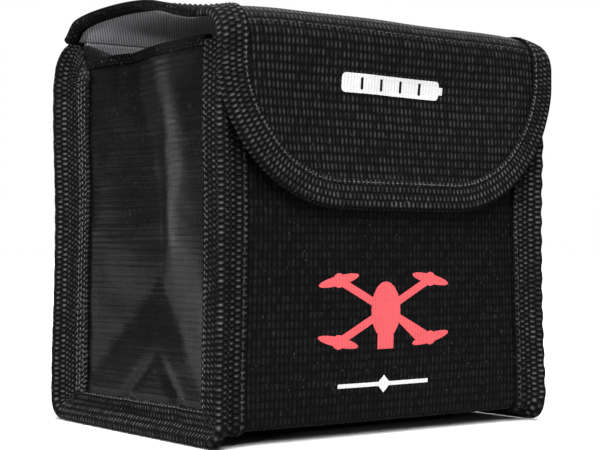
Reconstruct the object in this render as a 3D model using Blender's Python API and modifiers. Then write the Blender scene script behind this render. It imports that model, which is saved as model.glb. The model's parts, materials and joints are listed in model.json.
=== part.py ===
"""A fire-resistant bag for drone batteries, built as it is sewn.

One strip of coated cloth makes the front, the bottom and the back. Two gussets close the sides, and the
seams stand out as flanges bound in folded webbing. The lid and the flap swing on two fabric folds.
The frame is metres, +Z up, with the origin in the middle of the footprint and the front towards -Y.
"""

import math

import bmesh
import bpy
from mathutils import Vector

# Body, between the middles of the cloth
BODY_WIDTH = 0.136
BODY_DEPTH = 0.110
GUSSET_TOP = 0.1335  # height of the gussets' upper edge
MOUTH_BELOW_GUSSET = 0.0045  # the front panel ends this far below the gussets
BEND_BELOW_GUSSET = 0.0080  # the back begins to lean over towards the lid this far below their top
BACK_BEND_RADIUS = 0.020
BACK_BEND_ANGLE = math.radians(62)
BOTTOM_CORNER_RADIUS = 0.0035
FRONT_FULLNESS = 0.0024  # how far the front and back belly out
BELLY_AT_MOUTH = 0.12  # share of the belly's half wave that the front's upper edge has already reached
BELLY_SLOPE = 0.30  # share of the bottom's half width over which the cloth drops to the floor
BELLY_RAMP = 0.20  # share of the bottom's length over which it does

# Cloth
SHELL = 0.0006
LINING = 0.0004
TAPE = 0.0008
GAP = 0.0003  # between layers that touch
THREAD = 0.0005  # sewing thread's diameter
THREAD_INSET = 0.0060  # from the lid's and the flap's bound edge to its line of stitches
THREAD_BESIDE_CORNER = 0.0030  # from a body corner to the line of stitches along its flange
WELD = 0.00002  # points this close are one
CUT_EDGE = 0.0002  # a cloth's cut edge stops this far past the middle of a tape's fold

# Seam flange: both cloths run out side by side along the corner's diagonal, inside a folded tape
FLANGE_RUN = 0.0028  # from the corner to the middle of the tape's fold, across and out
TAPE_ON_STRIP = 0.0080  # tape beyond the corner on the front, bottom and back
TAPE_ON_GUSSET = 0.0120  # tape beyond the corner on the gusset
FLANGE_RUN_AT_LID = 0.0006  # the flange tapers to this at the lid's fold
FLANGE_TAPER_START = 0.45  # share of the back's bend where the taper begins
TIGHTEST_TAPE_RADIUS = 0.0006  # where the tape's inner edge turns a corner as a mitre

# Gusset creases: one valley down the middle, and two legs from it to the bottom corners
CREASE_DEPTH = 0.0085
CREASE_FROM_SEAM = 0.010  # flat cloth between the creased part and the seam
CREASE_FORK_HEIGHT = 0.054
HEM_HEIGHT = 0.0036

# Lid and flap, as one length of cloth with two folds
LID_OVERHANG = 0.0070  # beyond the body's side planes
LID_RISE = 0.0040  # crest of the lid above its back fold
LID_EDGE_LIFT = 0.0030  # how far the back of the lid's edges curls up
LID_FRONT_ABOVE_GUSSET = 0.0085
ROLL_RADIUS = 0.010
FLAP_CLEARANCE = 0.0005  # between the flap's binding and the seam flanges
FLAP_DROP = 0.0640  # from the front of the lid to the flap's lower edge
FLAP_CORNER_RADIUS = 0.050
FLAP_TAPE_WIDTH = 0.0105
LID_TAPE_WIDTH = 0.0105
FLAP_JOINT_BEHIND_ROLL = 0.0020
HINGE_GAP = 0.0008
LID_CURL_START = 0.015  # from the back fold to where the edges have curled up
LID_STATIONS = (0, 0.06, 0.13, 0.21, 0.33, 0.48, 0.64, 0.82, 1)  # shares of its length, closer at the back
FOLD_THREAD_ABOVE = 0.0045  # from the end of the front roll up to its row of stitches

# Hook and loop
HOOKS_ABOVE_TAPE = 0.0080  # above the flap's lower binding
HOOKS_HEIGHT = 0.0160
HOOKS_FROM_TAPE = 0.0020  # at their lower corners
LOOP_MARGIN = 0.0035  # the loops reach this far past the hooks all round
FASTENER = 0.0010  # thickness of each strip

# Prints
PRINT = 0.0003
PRINTS_ASIDE = -0.0033  # the middle of all the prints, from the bag's middle
EMBLEM_HEIGHT = 0.0430
EMBLEM_REACH = 0.0150  # above and below its middle
HULL_SIZE = (0.0130, 0.0200)
NOSE_SIZE = (0.0070, 0.0050)
NOSE_BELOW = 0.0110
ARM_WIDTH = 0.0028
ROTOR_ASIDE = 0.0205
ROTOR_ABOVE = 0.0105
MOTOR_SIZE = (0.0050, 0.0050)
BLADE_SIZE = (0.0172, 0.0034)
BLADE_TURN = math.radians(12)
LINE_MARK_HEIGHT = 0.0175
CELL_MARK_BELOW_LID = 0.0215

# What follows from them
FOLD_REACH = GAP / 2 + SHELL + GAP + TAPE  # half the thickness of a bound flange
RIDGE_REACH = FLANGE_RUN + FOLD_REACH  # from the body's planes to the outside of the ridge
BOTTOM = RIDGE_REACH
TAPE_OVER = SHELL / 2 + GAP + TAPE / 2  # from the shell's middle to the tape's middle
FLANGE_OFFSET = (GAP + SHELL) / math.sqrt(2)  # where each cloth turns out, inside the corner
LINING_UNDER = SHELL / 2 + GAP + LINING / 2
LINING_INSET = LINING_UNDER + LINING / 2 + 4 * GAP  # where a lining ends, inside the corner
TAPE_UNDER = LINING_UNDER + LINING / 2 + GAP + TAPE / 2
THREAD_OVER = TAPE_OVER + TAPE / 2 + GAP + THREAD / 2
COVER_EDGE = (TAPE_OVER + TAPE_UNDER) / 2 + TAPE / 2  # from the tape's fold to the edge of the lid's cloth
FLAP_STANDOFF = RIDGE_REACH + FLAP_CLEARANCE + TAPE_UNDER + TAPE / 2
FOREMOST = FLAP_STANDOFF + TAPE_OVER + TAPE / 2
FRONT = -BODY_DEPTH / 2 + (FOREMOST - RIDGE_REACH) / 2
BACK = FRONT + BODY_DEPTH
MIDDLE = (FRONT + BACK) / 2
CREASE_HALF_WIDTH = BODY_DEPTH / 2 - CREASE_FROM_SEAM
FLAP_Y = FRONT - FLAP_STANDOFF
SIDE = BODY_WIDTH / 2
BOTTOM_SAG = BOTTOM - SHELL / 2  # the middle of the bottom rests on the floor
CLEAR_OF_TAPE = SIDE - TAPE_ON_STRIP - GAP
MOUTH_TOP = GUSSET_TOP - MOUTH_BELOW_GUSSET
BACK_BEND_START = GUSSET_TOP - BEND_BELOW_GUSSET
LID_HALF_WIDTH = SIDE + LID_OVERHANG
LID_FRONT_HEIGHT = GUSSET_TOP + LID_FRONT_ABOVE_GUSSET
FLAP_BOTTOM = LID_FRONT_HEIGHT - FLAP_DROP
HOOK_BOTTOM = FLAP_BOTTOM + FLAP_TAPE_WIDTH + HOOKS_ABOVE_TAPE
HOOK_TOP = HOOK_BOTTOM + HOOKS_HEIGHT
CELL_MARK_HEIGHT = LID_FRONT_HEIGHT - CELL_MARK_BELOW_LID


def clear_scene():
    for obj in list(bpy.data.objects):
        bpy.data.objects.remove(obj, do_unlink=True)


def collection(name):
    made = bpy.data.collections.new(name)
    bpy.context.scene.collection.children.link(made)
    return made


def material(name, colour, roughness, metallic=0.0):
    made = bpy.data.materials.new(name)
    made.use_nodes = True
    shader = made.node_tree.nodes["Principled BSDF"]
    shader.inputs["Base Color"].default_value = (*colour, 1)
    shader.inputs["Roughness"].default_value = roughness
    shader.inputs["Metallic"].default_value = metallic
    return made


def add_mesh_object(name, mesh, finish, group):
    mesh.materials.append(finish)
    obj = bpy.data.objects.new(name, mesh)
    group.objects.link(obj)
    return obj


def lerp(a, b, t):
    return a + (b - a) * t


def smoothstep(t):
    t = min(max(t, 0.0), 1.0)
    return t * t * (3 - 2 * t)


# ---------------------------------------------------------------- the side view's path round the body


def path_point(stretch, t, out):
    """(y, z) at share t of a stretch of the path round the body, moved out from the cloth by that much."""
    radius = max(BOTTOM_CORNER_RADIUS + out, TIGHTEST_TAPE_RADIUS)
    front, back, low = FRONT - out, BACK + out, BOTTOM - out
    if stretch == "front":
        return front, lerp(GUSSET_TOP, low + radius, t)
    if stretch == "front_corner":
        turn = math.pi + t * math.pi / 2
        return front + radius + radius * math.cos(turn), low + radius + radius * math.sin(turn)
    if stretch == "bottom":
        return lerp(front + radius, back - radius, t), low
    if stretch == "back_corner":
        turn = 1.5 * math.pi + t * math.pi / 2
        return back - radius + radius * math.cos(turn), low + radius + radius * math.sin(turn)
    if stretch == "back":
        return back, lerp(low + radius, BACK_BEND_START, t)
    turn = t * BACK_BEND_ANGLE
    reach = BACK_BEND_RADIUS + out
    return BACK - BACK_BEND_RADIUS + reach * math.cos(turn), BACK_BEND_START + reach * math.sin(turn)


def stations(first="front", last="bend"):
    """Stretch and share for each row of cloth along part of the path, both ends included."""
    counts = {"front": 6, "front_corner": 4, "bottom": 5, "back_corner": 4, "back": 6, "bend": 5}
    names = list(counts)
    kept = names[names.index(first) : names.index(last) + 1]
    rows = [(stretch, i / counts[stretch]) for stretch in kept for i in range(counts[stretch])]
    return rows + [(last, 1.0)]


def flange_run(stretch, t):
    """How far the flange's fold stands out, at a station of the path."""
    if stretch != "bend":
        return FLANGE_RUN
    taper = smoothstep((t - FLANGE_TAPER_START) / (1 - FLANGE_TAPER_START))
    return lerp(FLANGE_RUN, FLANGE_RUN_AT_LID, taper)


def fullness(stretch, t):
    """Share of the belly at a station: none at the corners and most halfway up a panel."""
    if stretch == "front":
        return math.sin(math.pi * lerp(BELLY_AT_MOUTH, 1.0, t))
    return math.sin(math.pi * t) if stretch == "back" else 0.0


def strip_out(x, stretch, t):
    """How far the strip's cloth stands out from the path at x: it bellies between the seam tapes and runs
    out at each seam to lie along the flange."""
    seam = abs(x) - SIDE
    if seam > -FLANGE_OFFSET:
        return seam + FLANGE_OFFSET
    across = max(1 - (x / CLEAR_OF_TAPE) ** 2, 0.0)
    if stretch == "bottom":
        sideways = min((1 - abs(x) / CLEAR_OF_TAPE) / BELLY_SLOPE, 1.0)
        lengthways = min(t / BELLY_RAMP, (1 - t) / BELLY_RAMP, 1.0)
        return BOTTOM_SAG * max(sideways, 0.0) * lengthways
    return FRONT_FULLNESS * across * fullness(stretch, t)


# ---------------------------------------------------------------- cloth as a grid with thickness


def add_grid(bm, columns, rows, place):
    """Adds a grid of faces, whose corners are place(column, row)."""
    made = bmesh.ops.create_grid(bm, x_segments=len(columns) - 1, y_segments=len(rows) - 1, size=1.0)
    for vert in made["verts"]:
        i = round((vert.co.x + 1) / 2 * (len(columns) - 1))
        j = round((vert.co.y + 1) / 2 * (len(rows) - 1))
        vert.co = place(columns[i], rows[j])


def thicken(name, bm, thickness, finish, group, lift=0.0):
    """Makes a layer of cloth from a laid surface.

    lift is how far the layer's middle stands out from the surface, away from the bag's inside."""
    bmesh.ops.recalc_face_normals(bm, faces=bm.faces)
    inside = Vector((0, MIDDLE, GUSSET_TOP / 2))
    if sum(f.normal.dot(f.calc_center_median() - inside) * f.calc_area() for f in bm.faces) < 0:
        bmesh.ops.reverse_faces(bm, faces=bm.faces)
    mesh = bpy.data.meshes.new(name)
    bm.to_mesh(mesh)
    bm.free()
    obj = add_mesh_object(name, mesh, finish, group)
    solidify = obj.modifiers.new("thickness", "SOLIDIFY")
    solidify.thickness = thickness
    solidify.offset = 2 * lift / thickness
    solidify.use_even_offset = True
    solidify.use_quality_normals = True
    return obj


def cloth(name, columns, rows, place, thickness, finish, group, lift=0.0):
    """One layer of cloth laid out as a plain grid."""
    bm = bmesh.new()
    add_grid(bm, columns, rows, place)
    return thicken(name, bm, thickness, finish, group, lift)


def fold_section(over, under, over_length, under_length, run, steps=4):
    """A tape folded over an edge, as points of (along, out): it goes along the cloth's outer face towards
    the edge at along = 0, round it, and back along the inner face.

    run is the distance from the edge to the middle of the fold's turn."""
    radius = (over + under) / 2
    middle = (over - under) / 2
    points = [(over_length, over)]
    for i in range(steps + 1):
        turn = math.pi / 2 + math.pi * i / steps
        points.append((run + radius * math.cos(turn), middle + radius * math.sin(turn)))
    points.append((under_length, -under))
    return points


def seam_section(steps=4):
    """The seam tape's section at a corner, as points of (beyond the side, out from the path) and whether
    they move with the flange's fold."""
    offset = GAP / 2 + SHELL + GAP + TAPE / 2
    bend = TAPE_OVER - offset * math.sqrt(2)
    fold = [math.radians(135) - math.pi * i / steps for i in range(steps + 1)]
    turned = [(offset * math.cos(turn), offset * math.sin(turn), True) for turn in fold]
    strip_leg = [(-TAPE_ON_STRIP, TAPE_OVER, False), (bend, TAPE_OVER, False)]
    return strip_leg + turned + [(TAPE_OVER, bend, False), (TAPE_OVER, -TAPE_ON_GUSSET, False)]


# ---------------------------------------------------------------- the lid and flap's profile


class Profile:
    """A smooth line in the side view, read by its length."""

    def __init__(self, points):
        self.points = points
        self.lengths = [0.0]
        for (y0, z0), (y1, z1) in zip(points, points[1:]):
            self.lengths.append(self.lengths[-1] + math.hypot(y1 - y0, z1 - z0))

    @property
    def length(self):
        return self.lengths[-1]

    def at(self, s, out=0.0):
        """(y, z) at length s, moved out to the cloth's upper side."""
        k = 1
        while k < len(self.lengths) - 1 and self.lengths[k] < s:
            k += 1
        (y0, z0), (y1, z1) = self.points[k - 1], self.points[k]
        step = self.lengths[k] - self.lengths[k - 1]
        t = (s - self.lengths[k - 1]) / step
        # the cloth runs towards -Y and then down, so its outer side is on the right of its direction
        return lerp(y0, y1, t) + out * (z1 - z0) / step, lerp(z0, z1, t) - out * (y1 - y0) / step

    def length_at(self, y):
        """The length at which the line first passes this y."""
        for k, (here, _) in enumerate(self.points):
            if here <= y:
                return self.lengths[k]
        return self.length


def spline(points, steps=8):
    """A Catmull-Rom curve through all the points but the first and the last, which only steer its ends."""
    line = []
    for a, b, c, d in zip(points, points[1:], points[2:], points[3:]):
        for i in range(steps):
            t = i / steps
            line.append(
                tuple(
                    0.5
                    * (
                        2 * b[k]
                        + (c[k] - a[k]) * t
                        + (2 * a[k] - 5 * b[k] + 4 * c[k] - d[k]) * t**2
                        + (3 * b[k] - a[k] - 3 * c[k] + d[k]) * t**3
                    )
                    for k in range(2)
                )
            )
    return line + [points[-2]]


def cover_profile():
    """The lid from its back fold over the crest to the front roll, and the flap down to its lower edge."""
    before_y, before_z = path_point("bend", 0.8, 0.0)
    back_y, back_z = path_point("bend", 1.0, 0.0)
    roll_y = FLAP_Y + ROLL_RADIUS
    crest = back_z + LID_RISE
    lid = spline(
        [
            (before_y, before_z),
            (back_y, back_z),
            (lerp(back_y, roll_y, 0.12), lerp(back_z, crest, 0.8)),
            (lerp(back_y, roll_y, 0.30), crest),
            (lerp(back_y, roll_y, 0.62), lerp(crest, LID_FRONT_HEIGHT, 0.30)),
            (roll_y, LID_FRONT_HEIGHT),
            (roll_y - ROLL_RADIUS, LID_FRONT_HEIGHT - 0.2 * ROLL_RADIUS),
        ]
    )
    roll = [
        (
            roll_y - ROLL_RADIUS * math.sin(math.radians(angle)),
            LID_FRONT_HEIGHT - ROLL_RADIUS + ROLL_RADIUS * math.cos(math.radians(angle)),
        )
        for angle in range(15, 91, 15)
    ]
    return Profile(lid + roll + [(FLAP_Y, FLAP_BOTTOM)])


COVER = cover_profile()
LID_START = HINGE_GAP
FLAP_JOINT = COVER.length_at(FLAP_Y + ROLL_RADIUS + FLAP_JOINT_BEHIND_ROLL)
LID_END = FLAP_JOINT - HINGE_GAP / 2
FLAP_START = FLAP_JOINT + HINGE_GAP / 2
FLAP_END = COVER.length


def cover_point(x, s, out=0.0):
    """A point of the lid or flap's cloth, with the back of the lid's edges curled up."""
    y, z = COVER.at(s, out)
    along = min(s / FLAP_JOINT, 1.0)
    curl = smoothstep(s / LID_CURL_START) * (1 - smoothstep(along))
    lift = LID_EDGE_LIFT * curl * (abs(x) / LID_HALF_WIDTH) ** 4
    return x, y, z + lift


# ---------------------------------------------------------------- pieces of the body


def strip_columns(edge, inner):
    """x of each column of the strip, from one seam to the other."""
    half = [*(CLEAR_OF_TAPE * t for t in (0.0, 0.35, 0.70, 1.0)), *inner, edge]
    return [-x for x in half[:0:-1]] + half


def strip_point(x, row):
    """A point of the strip, which starts at the mouth and has its outermost columns on the flange."""
    stretch, t = row
    if abs(x) > SIDE:
        x = math.copysign(SIDE + flange_run(stretch, t) - FLANGE_OFFSET / 2 + CUT_EDGE, x)
    if stretch == "front":
        t = lerp((GUSSET_TOP - MOUTH_TOP) / (GUSSET_TOP - BOTTOM - BOTTOM_CORNER_RADIUS), 1, t)
    y, z = path_point(stretch, t, strip_out(x, stretch, t))
    return x, y, z


def make_panels(finish, group):
    """The strip's outer cloth in three lengths, which meet in the middle of its two rounded corners."""
    columns = strip_columns(SIDE + FLANGE_RUN, [SIDE - FLANGE_OFFSET])
    cut = GAP / (math.pi * BOTTOM_CORNER_RADIUS)
    front_end, bottom_start = ("front_corner", 0.5 - cut), ("front_corner", 0.5 + cut)
    bottom_end, back_start = ("back_corner", 0.5 - cut), ("back_corner", 0.5 + cut)
    lengths = {
        "front_panel": stations("front", "front_corner")[:-3] + [front_end],
        "bottom_panel": [bottom_start] + stations("front_corner", "back_corner")[3:-3] + [bottom_end],
        "back_panel": [back_start] + stations("back_corner", "bend")[3:],
    }
    for name, rows in lengths.items():
        cloth(name, columns, rows, strip_point, SHELL, finish, group)


def make_lining_strip(finish, group):
    columns = strip_columns(SIDE - LINING_INSET, [])
    return cloth("lining_strip", columns, stations(), strip_point, LINING, finish, group, lift=-LINING_UNDER)


def body_edges(z, out):
    """y of the path round the body at a height, in front and at the back, moved out by that much."""
    radius = max(BOTTOM_CORNER_RADIUS + out, 0.0)
    under = max(BOTTOM + BOTTOM_CORNER_RADIUS - z, 0.0)
    narrower = radius - math.sqrt(max(radius**2 - under**2, 0.0))
    front, back = FRONT - out + narrower, BACK + out - narrower
    over = max(z - BACK_BEND_START, 0.0)
    reach = BACK_BEND_RADIUS + out
    return front, back - reach + math.sqrt(max(reach**2 - over**2, 0.0))


def outside_by(y, z):
    """How far a point of the side view lies outside the path round the body; less than nothing inside."""
    radius = BOTTOM_CORNER_RADIUS
    dy = abs(y - MIDDLE) - (BODY_DEPTH / 2 - radius)
    dz = BOTTOM + radius - z
    if y > MIDDLE and z > BACK_BEND_START:
        return math.hypot(max(y - BACK + BACK_BEND_RADIUS, 0.0), z - BACK_BEND_START) - BACK_BEND_RADIUS
    return min(max(dy, dz), 0.0) + math.hypot(max(dy, 0.0), max(dz, 0.0)) - radius


def crease_depth(y, z):
    """How far the gusset is folded in: a valley down the middle that forks into two legs near the bottom."""
    valley = 1 - abs(y - MIDDLE) / CREASE_HALF_WIDTH
    foot = (z - BOTTOM - CREASE_FROM_SEAM) / (CREASE_FORK_HEIGHT - BOTTOM - CREASE_FROM_SEAM)
    return CREASE_DEPTH * max(min(valley, foot, 1.0), 0.0)


def gusset_point(y, z, side):
    beyond = max(outside_by(y, z) + FLANGE_OFFSET, 0.0)
    return side * (SIDE + beyond - crease_depth(y, z)), y, z


def ring_point(row, out):
    """(y, z) at a row of the gusset's border, which runs down the front, along the bottom and up the back.

    On the upright stretches the row gives a height, and on the others a share of their length."""
    stretch, t = row
    radius = max(BOTTOM_CORNER_RADIUS + out, 0.0)
    low = BOTTOM - out
    if stretch == "front":
        return body_edges(t, out)[0], t
    if stretch == "back":
        return body_edges(t, out)[1], t
    if stretch == "bottom":
        return lerp(FRONT - out + radius, BACK + out - radius, t), low
    turn = t * math.pi / 2
    across = radius * (1 - math.cos(turn)), radius * (1 - math.sin(turn))
    if stretch == "front_corner":
        return FRONT - out + across[0], low + across[1]
    return BACK + out - across[1], low + across[0]


def keep_creases(bm):
    """Splits each square of a creased surface along the crease that crosses it."""
    for face in [f for f in bm.faces if len(f.verts) == 4]:
        middle = face.calc_center_median()
        depth = crease_depth(middle.y, middle.z)
        a, b, c, d = face.verts
        miss_ac = abs(crease_depth(a.co.y, a.co.z) + crease_depth(c.co.y, c.co.z) - 2 * depth)
        miss_bd = abs(crease_depth(b.co.y, b.co.z) + crease_depth(d.co.y, d.co.z) - 2 * depth)
        bmesh.utils.face_split(face, *((a, c) if miss_ac < miss_bd else (b, d)))


def make_gusset_layer(name, side, rings, thickness, lift, finish, group):
    """A layer of the gusset: the creased middle and a flat border, whose rings lie this far outside the
    body's path."""
    steps = (0.0, 0.25, 0.50, 0.75, 1.0)
    levels = [lerp(BOTTOM + CREASE_FROM_SEAM, CREASE_FORK_HEIGHT, t) for t in steps]
    levels += [lerp(CREASE_FORK_HEIGHT, BACK_BEND_START, t) for t in (0.4, 1.0)]
    levels += [lerp(BACK_BEND_START, GUSSET_TOP - GAP, t) for t in (0.5, 1.0)]
    across = [-t for t in steps[:0:-1]] + list(steps)
    border = [("front", z) for z in levels[::-1]]
    border += [("front_corner", t) for t in (0, 1 / 3, 2 / 3)]
    border += [("bottom", (a + 1) / 2) for a in across]
    border += [("back_corner", t) for t in (1 / 3, 2 / 3, 1)]
    border += [("back", z) for z in levels]
    inner = -CREASE_FROM_SEAM

    def place_middle(a, z):
        front, back = body_edges(z, inner)
        y = lerp(MIDDLE, back, a) if a > 0 else lerp(MIDDLE, front, -a)
        return gusset_point(y, z, side)

    def place_border(ring, row):
        return gusset_point(*ring_point(row, ring), side)

    bm = bmesh.new()
    add_grid(bm, across, levels, place_middle)
    keep_creases(bm)
    add_grid(bm, [*rings, inner], border, place_border)
    bmesh.ops.remove_doubles(bm, verts=bm.verts, dist=WELD)
    return thicken(name, bm, thickness, finish, group, lift)


def make_gusset(side, finish, group):
    name = "gusset_left" if side < 0 else "gusset_right"
    flange = FLANGE_RUN - FLANGE_OFFSET / 2 + CUT_EDGE
    return make_gusset_layer(name, side, [flange, -FLANGE_OFFSET], SHELL, 0.0, finish, group)


def make_gusset_lining(side, finish, group):
    name = "gusset_lining_left" if side < 0 else "gusset_lining_right"
    return make_gusset_layer(name, side, [-LINING_INSET], LINING, -LINING_UNDER, finish, group)


def make_seam_bindings(side, finish, group):
    """The seam's tape in three lengths: up the front, under the bottom and up the back."""

    def place(section, row):
        beyond, out, turned = section
        run = flange_run(*row) if turned else 0.0
        y, z = path_point(*row, out + run)
        return side * (SIDE + beyond + run), y, z

    share = GAP / (GUSSET_TOP - BOTTOM - BOTTOM_CORNER_RADIUS)
    lengths = {
        "front": stations("front", "front")[:-1] + [("front", 1 - share)],
        "bottom": stations("front_corner", "back_corner"),
        "back": [("back", share)] + stations("back", "bend")[1:],
    }
    for where, rows in lengths.items():
        name = f"seam_binding_{where}_" + ("left" if side < 0 else "right")
        cloth(name, seam_section(), rows, place, TAPE, finish, group)


def make_gusset_hem(side, finish, group):
    """A narrow tape folded over the gusset's upper edge, between the two seam tapes."""
    name = "gusset_hem_left" if side < 0 else "gusset_hem_right"
    columns = fold_section(TAPE_OVER, TAPE_UNDER, HEM_HEIGHT, HEM_HEIGHT, CUT_EDGE, steps=3)
    start = FRONT + TAPE_ON_GUSSET + GAP
    tape_radius = BACK_BEND_RADIUS - TAPE_ON_GUSSET
    end = BACK - BACK_BEND_RADIUS + tape_radius * math.cos(BACK_BEND_ANGLE) - GAP
    rows = [start, (start + MIDDLE) / 2, MIDDLE, (MIDDLE + end) / 2, end]

    def place(section, y):
        below, out = section
        z = GUSSET_TOP - below
        x, _, _ = gusset_point(y, min(z, GUSSET_TOP), side)
        return x + side * out, y, z

    return cloth(name, columns, rows, place, TAPE, finish, group)


def make_mouth_hem(finish, group):
    """The tape folded over the front panel's upper edge, inside the flap."""
    columns = fold_section(TAPE_OVER, TAPE_UNDER, HEM_HEIGHT, HEM_HEIGHT, CUT_EDGE, steps=3)
    reach = SIDE - TAPE_ON_STRIP - GAP
    rows = [reach * a for a in (-1, -0.5, 0, 0.5, 1)]
    height = GUSSET_TOP - BOTTOM - BOTTOM_CORNER_RADIUS

    def place(section, x):
        below, out = section
        t = (GUSSET_TOP - MOUTH_TOP + below) / height
        y, _ = path_point("front", max(t, 0.0), strip_out(x, "front", max(t, 0.0)) + out)
        return x, y, MOUTH_TOP - below

    return cloth("mouth_hem", columns, rows, place, TAPE, finish, group)


def front_face(x, z):
    """y of the middle of the front panel's cloth at a point of the front view."""
    t = (GUSSET_TOP - z) / (GUSSET_TOP - BOTTOM - BOTTOM_CORNER_RADIUS)
    return FRONT - strip_out(x, "front", t)


def hook_half_length():
    """Half the hooks' length: what the flap's round corners leave free at their lower edge."""
    inner_radius = FLAP_CORNER_RADIUS - FLAP_TAPE_WIDTH
    below_centre = FLAP_BOTTOM + FLAP_CORNER_RADIUS - HOOK_BOTTOM
    beside_centre = math.sqrt(inner_radius**2 - below_centre**2)
    return LID_HALF_WIDTH - FLAP_CORNER_RADIUS + beside_centre - HOOKS_FROM_TAPE


def make_loop_strip(finish, group):
    reach = hook_half_length() + LOOP_MARGIN
    columns = [reach * a for a in (-1, -0.7, -0.4, 0, 0.4, 0.7, 1)]
    rows = [lerp(HOOK_BOTTOM - LOOP_MARGIN, HOOK_TOP + LOOP_MARGIN, t) for t in (0, 0.5, 1)]
    lift = SHELL / 2 + GAP + FASTENER / 2

    def place(x, z):
        return x, front_face(x, z) - lift, z

    return cloth("loop_strip", columns, rows, place, FASTENER, finish, group)


# ---------------------------------------------------------------- pieces of the lid and flap


def make_lid(name, thickness, lift, finish, group):
    edge = LID_HALF_WIDTH - COVER_EDGE
    half = [0.0, 0.45, 0.78, 0.92, 1.0]
    columns = [edge * a for a in [-b for b in half[:0:-1]] + half]
    rows = [lerp(LID_START, LID_END, t) for t in LID_STATIONS]
    return cloth(name, columns, rows, cover_point, thickness, finish, group, lift=lift)


def make_lid_binding(side, finish, group):
    name = "lid_binding_left" if side < 0 else "lid_binding_right"
    section = fold_section(TAPE_OVER, TAPE_UNDER, LID_TAPE_WIDTH, LID_TAPE_WIDTH, COVER_EDGE)
    rows = [lerp(LID_START, LID_END, t) for t in LID_STATIONS]

    def place(point, s):
        inset, out = point
        return cover_point(side * (LID_HALF_WIDTH - inset), s, out)

    return cloth(name, section, rows, place, TAPE, finish, group)


def flap_outline(row, inset):
    """(x, length along the cover) at a station of the flap's edge, that far in from the edge."""
    stretch, t = row
    radius = FLAP_CORNER_RADIUS - inset
    corner = FLAP_END - FLAP_CORNER_RADIUS
    middle = LID_HALF_WIDTH - FLAP_CORNER_RADIUS
    if stretch == "left":
        return -(LID_HALF_WIDTH - inset), lerp(FLAP_START, corner, t)
    if stretch == "left_corner":
        turn = t * math.pi / 2
        return -middle - radius * math.cos(turn), corner + radius * math.sin(turn)
    if stretch == "bottom":
        return lerp(-middle, middle, t), FLAP_END - inset
    if stretch == "right_corner":
        turn = (1 - t) * math.pi / 2
        return middle + radius * math.cos(turn), corner + radius * math.sin(turn)
    return LID_HALF_WIDTH - inset, lerp(corner, FLAP_START, t)


def flap_stations():
    """Part and share for each station of the flap's edge, which its tape and its stitches share."""
    counts = [("left", 5), ("left_corner", 6), ("bottom", 2), ("right_corner", 6), ("right", 5)]
    rows = [(stretch, i / count) for stretch, count in counts for i in range(count)]
    return rows + [("right", 1.0)]


def make_flap(name, thickness, lift, finish, group):
    half = [0.0, 0.4, 0.75, 1.0]
    columns = [-a for a in half[:0:-1]] + half
    radius = FLAP_CORNER_RADIUS - COVER_EDGE
    corner = FLAP_END - FLAP_CORNER_RADIUS
    upper = [lerp(FLAP_START, corner, t) for t in (0, 0.2, 0.4, 0.6, 0.8)]
    rows = upper + [corner + radius * math.sin(math.radians(a)) for a in (0, 15, 30, 45, 60, 75, 90)]

    def place(a, s):
        below = max(s - corner, 0.0)
        half_width = LID_HALF_WIDTH - FLAP_CORNER_RADIUS + math.sqrt(max(radius**2 - below**2, 0.0))
        return cover_point(a * half_width, s)

    return cloth(name, columns, rows, place, thickness, finish, group, lift=lift)


def make_flap_binding(finish, group):
    section = fold_section(TAPE_OVER, TAPE_UNDER, FLAP_TAPE_WIDTH, FLAP_TAPE_WIDTH, COVER_EDGE)

    def place(point, row):
        inset, out = point
        x, s = flap_outline(row, inset)
        return cover_point(x, s, out)

    return cloth("flap_binding", section, flap_stations(), place, TAPE, finish, group)


def make_hook_strip(finish, group):
    """The hooks, sewn under the flap, and a little smaller than the loops they press on."""
    y = FLAP_Y + LINING_UNDER + LINING / 2 + GAP + FASTENER / 2
    columns = [-hook_half_length(), 0.0, hook_half_length()]
    rows = [HOOK_BOTTOM, HOOK_TOP]
    return cloth("hook_strip", columns, rows, lambda x, z: (x, y, z), FASTENER, finish, group)


# ---------------------------------------------------------------- threads


def thread(name, points, finish, group):
    """A line of sewing thread through these points."""
    curve = bpy.data.curves.new(name, "CURVE")
    curve.dimensions = "3D"
    curve.bevel_depth = THREAD / 2
    curve.bevel_resolution = 1
    curve.use_fill_caps = True
    line = curve.splines.new("POLY")
    line.points.add(len(points) - 1)
    for point, place in zip(line.points, points):
        point.co = (*place, 1)
    curve.materials.append(finish)
    obj = bpy.data.objects.new(name, curve)
    group.objects.link(obj)
    return obj


def make_seam_thread(side, finish, group):
    name = "seam_thread_left" if side < 0 else "seam_thread_right"
    points = []
    for row in stations():
        y, z = path_point(*row, THREAD_OVER)
        points.append((side * (SIDE - THREAD_BESIDE_CORNER), y, z))
    return thread(name, points, finish, group)


def make_lid_thread(side, finish, group):
    name = "lid_thread_left" if side < 0 else "lid_thread_right"
    x = side * (LID_HALF_WIDTH - THREAD_INSET)
    rows = [lerp(LID_START, LID_END, t) for t in LID_STATIONS]
    return thread(name, [cover_point(x, s, THREAD_OVER) for s in rows], finish, group)


def make_flap_thread(finish, group):
    points = []
    for row in flap_stations():
        x, s = flap_outline(row, THREAD_INSET)
        points.append(cover_point(x, s, THREAD_OVER))
    return thread("flap_thread", points, finish, group)


def make_fold_thread(finish, group):
    """The row of stitches that keeps the front roll's crease, from binding to binding."""
    out = SHELL / 2 + GAP + THREAD / 2
    roll_end = FLAP_END - (LID_FRONT_HEIGHT - ROLL_RADIUS - FLAP_BOTTOM)
    reach = LID_HALF_WIDTH - FLAP_TAPE_WIDTH - GAP
    points = [cover_point(x, roll_end - FOLD_THREAD_ABOVE, out) for x in (-reach, 0, reach)]
    return thread("fold_thread", points, finish, group)


# ---------------------------------------------------------------- prints


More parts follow.
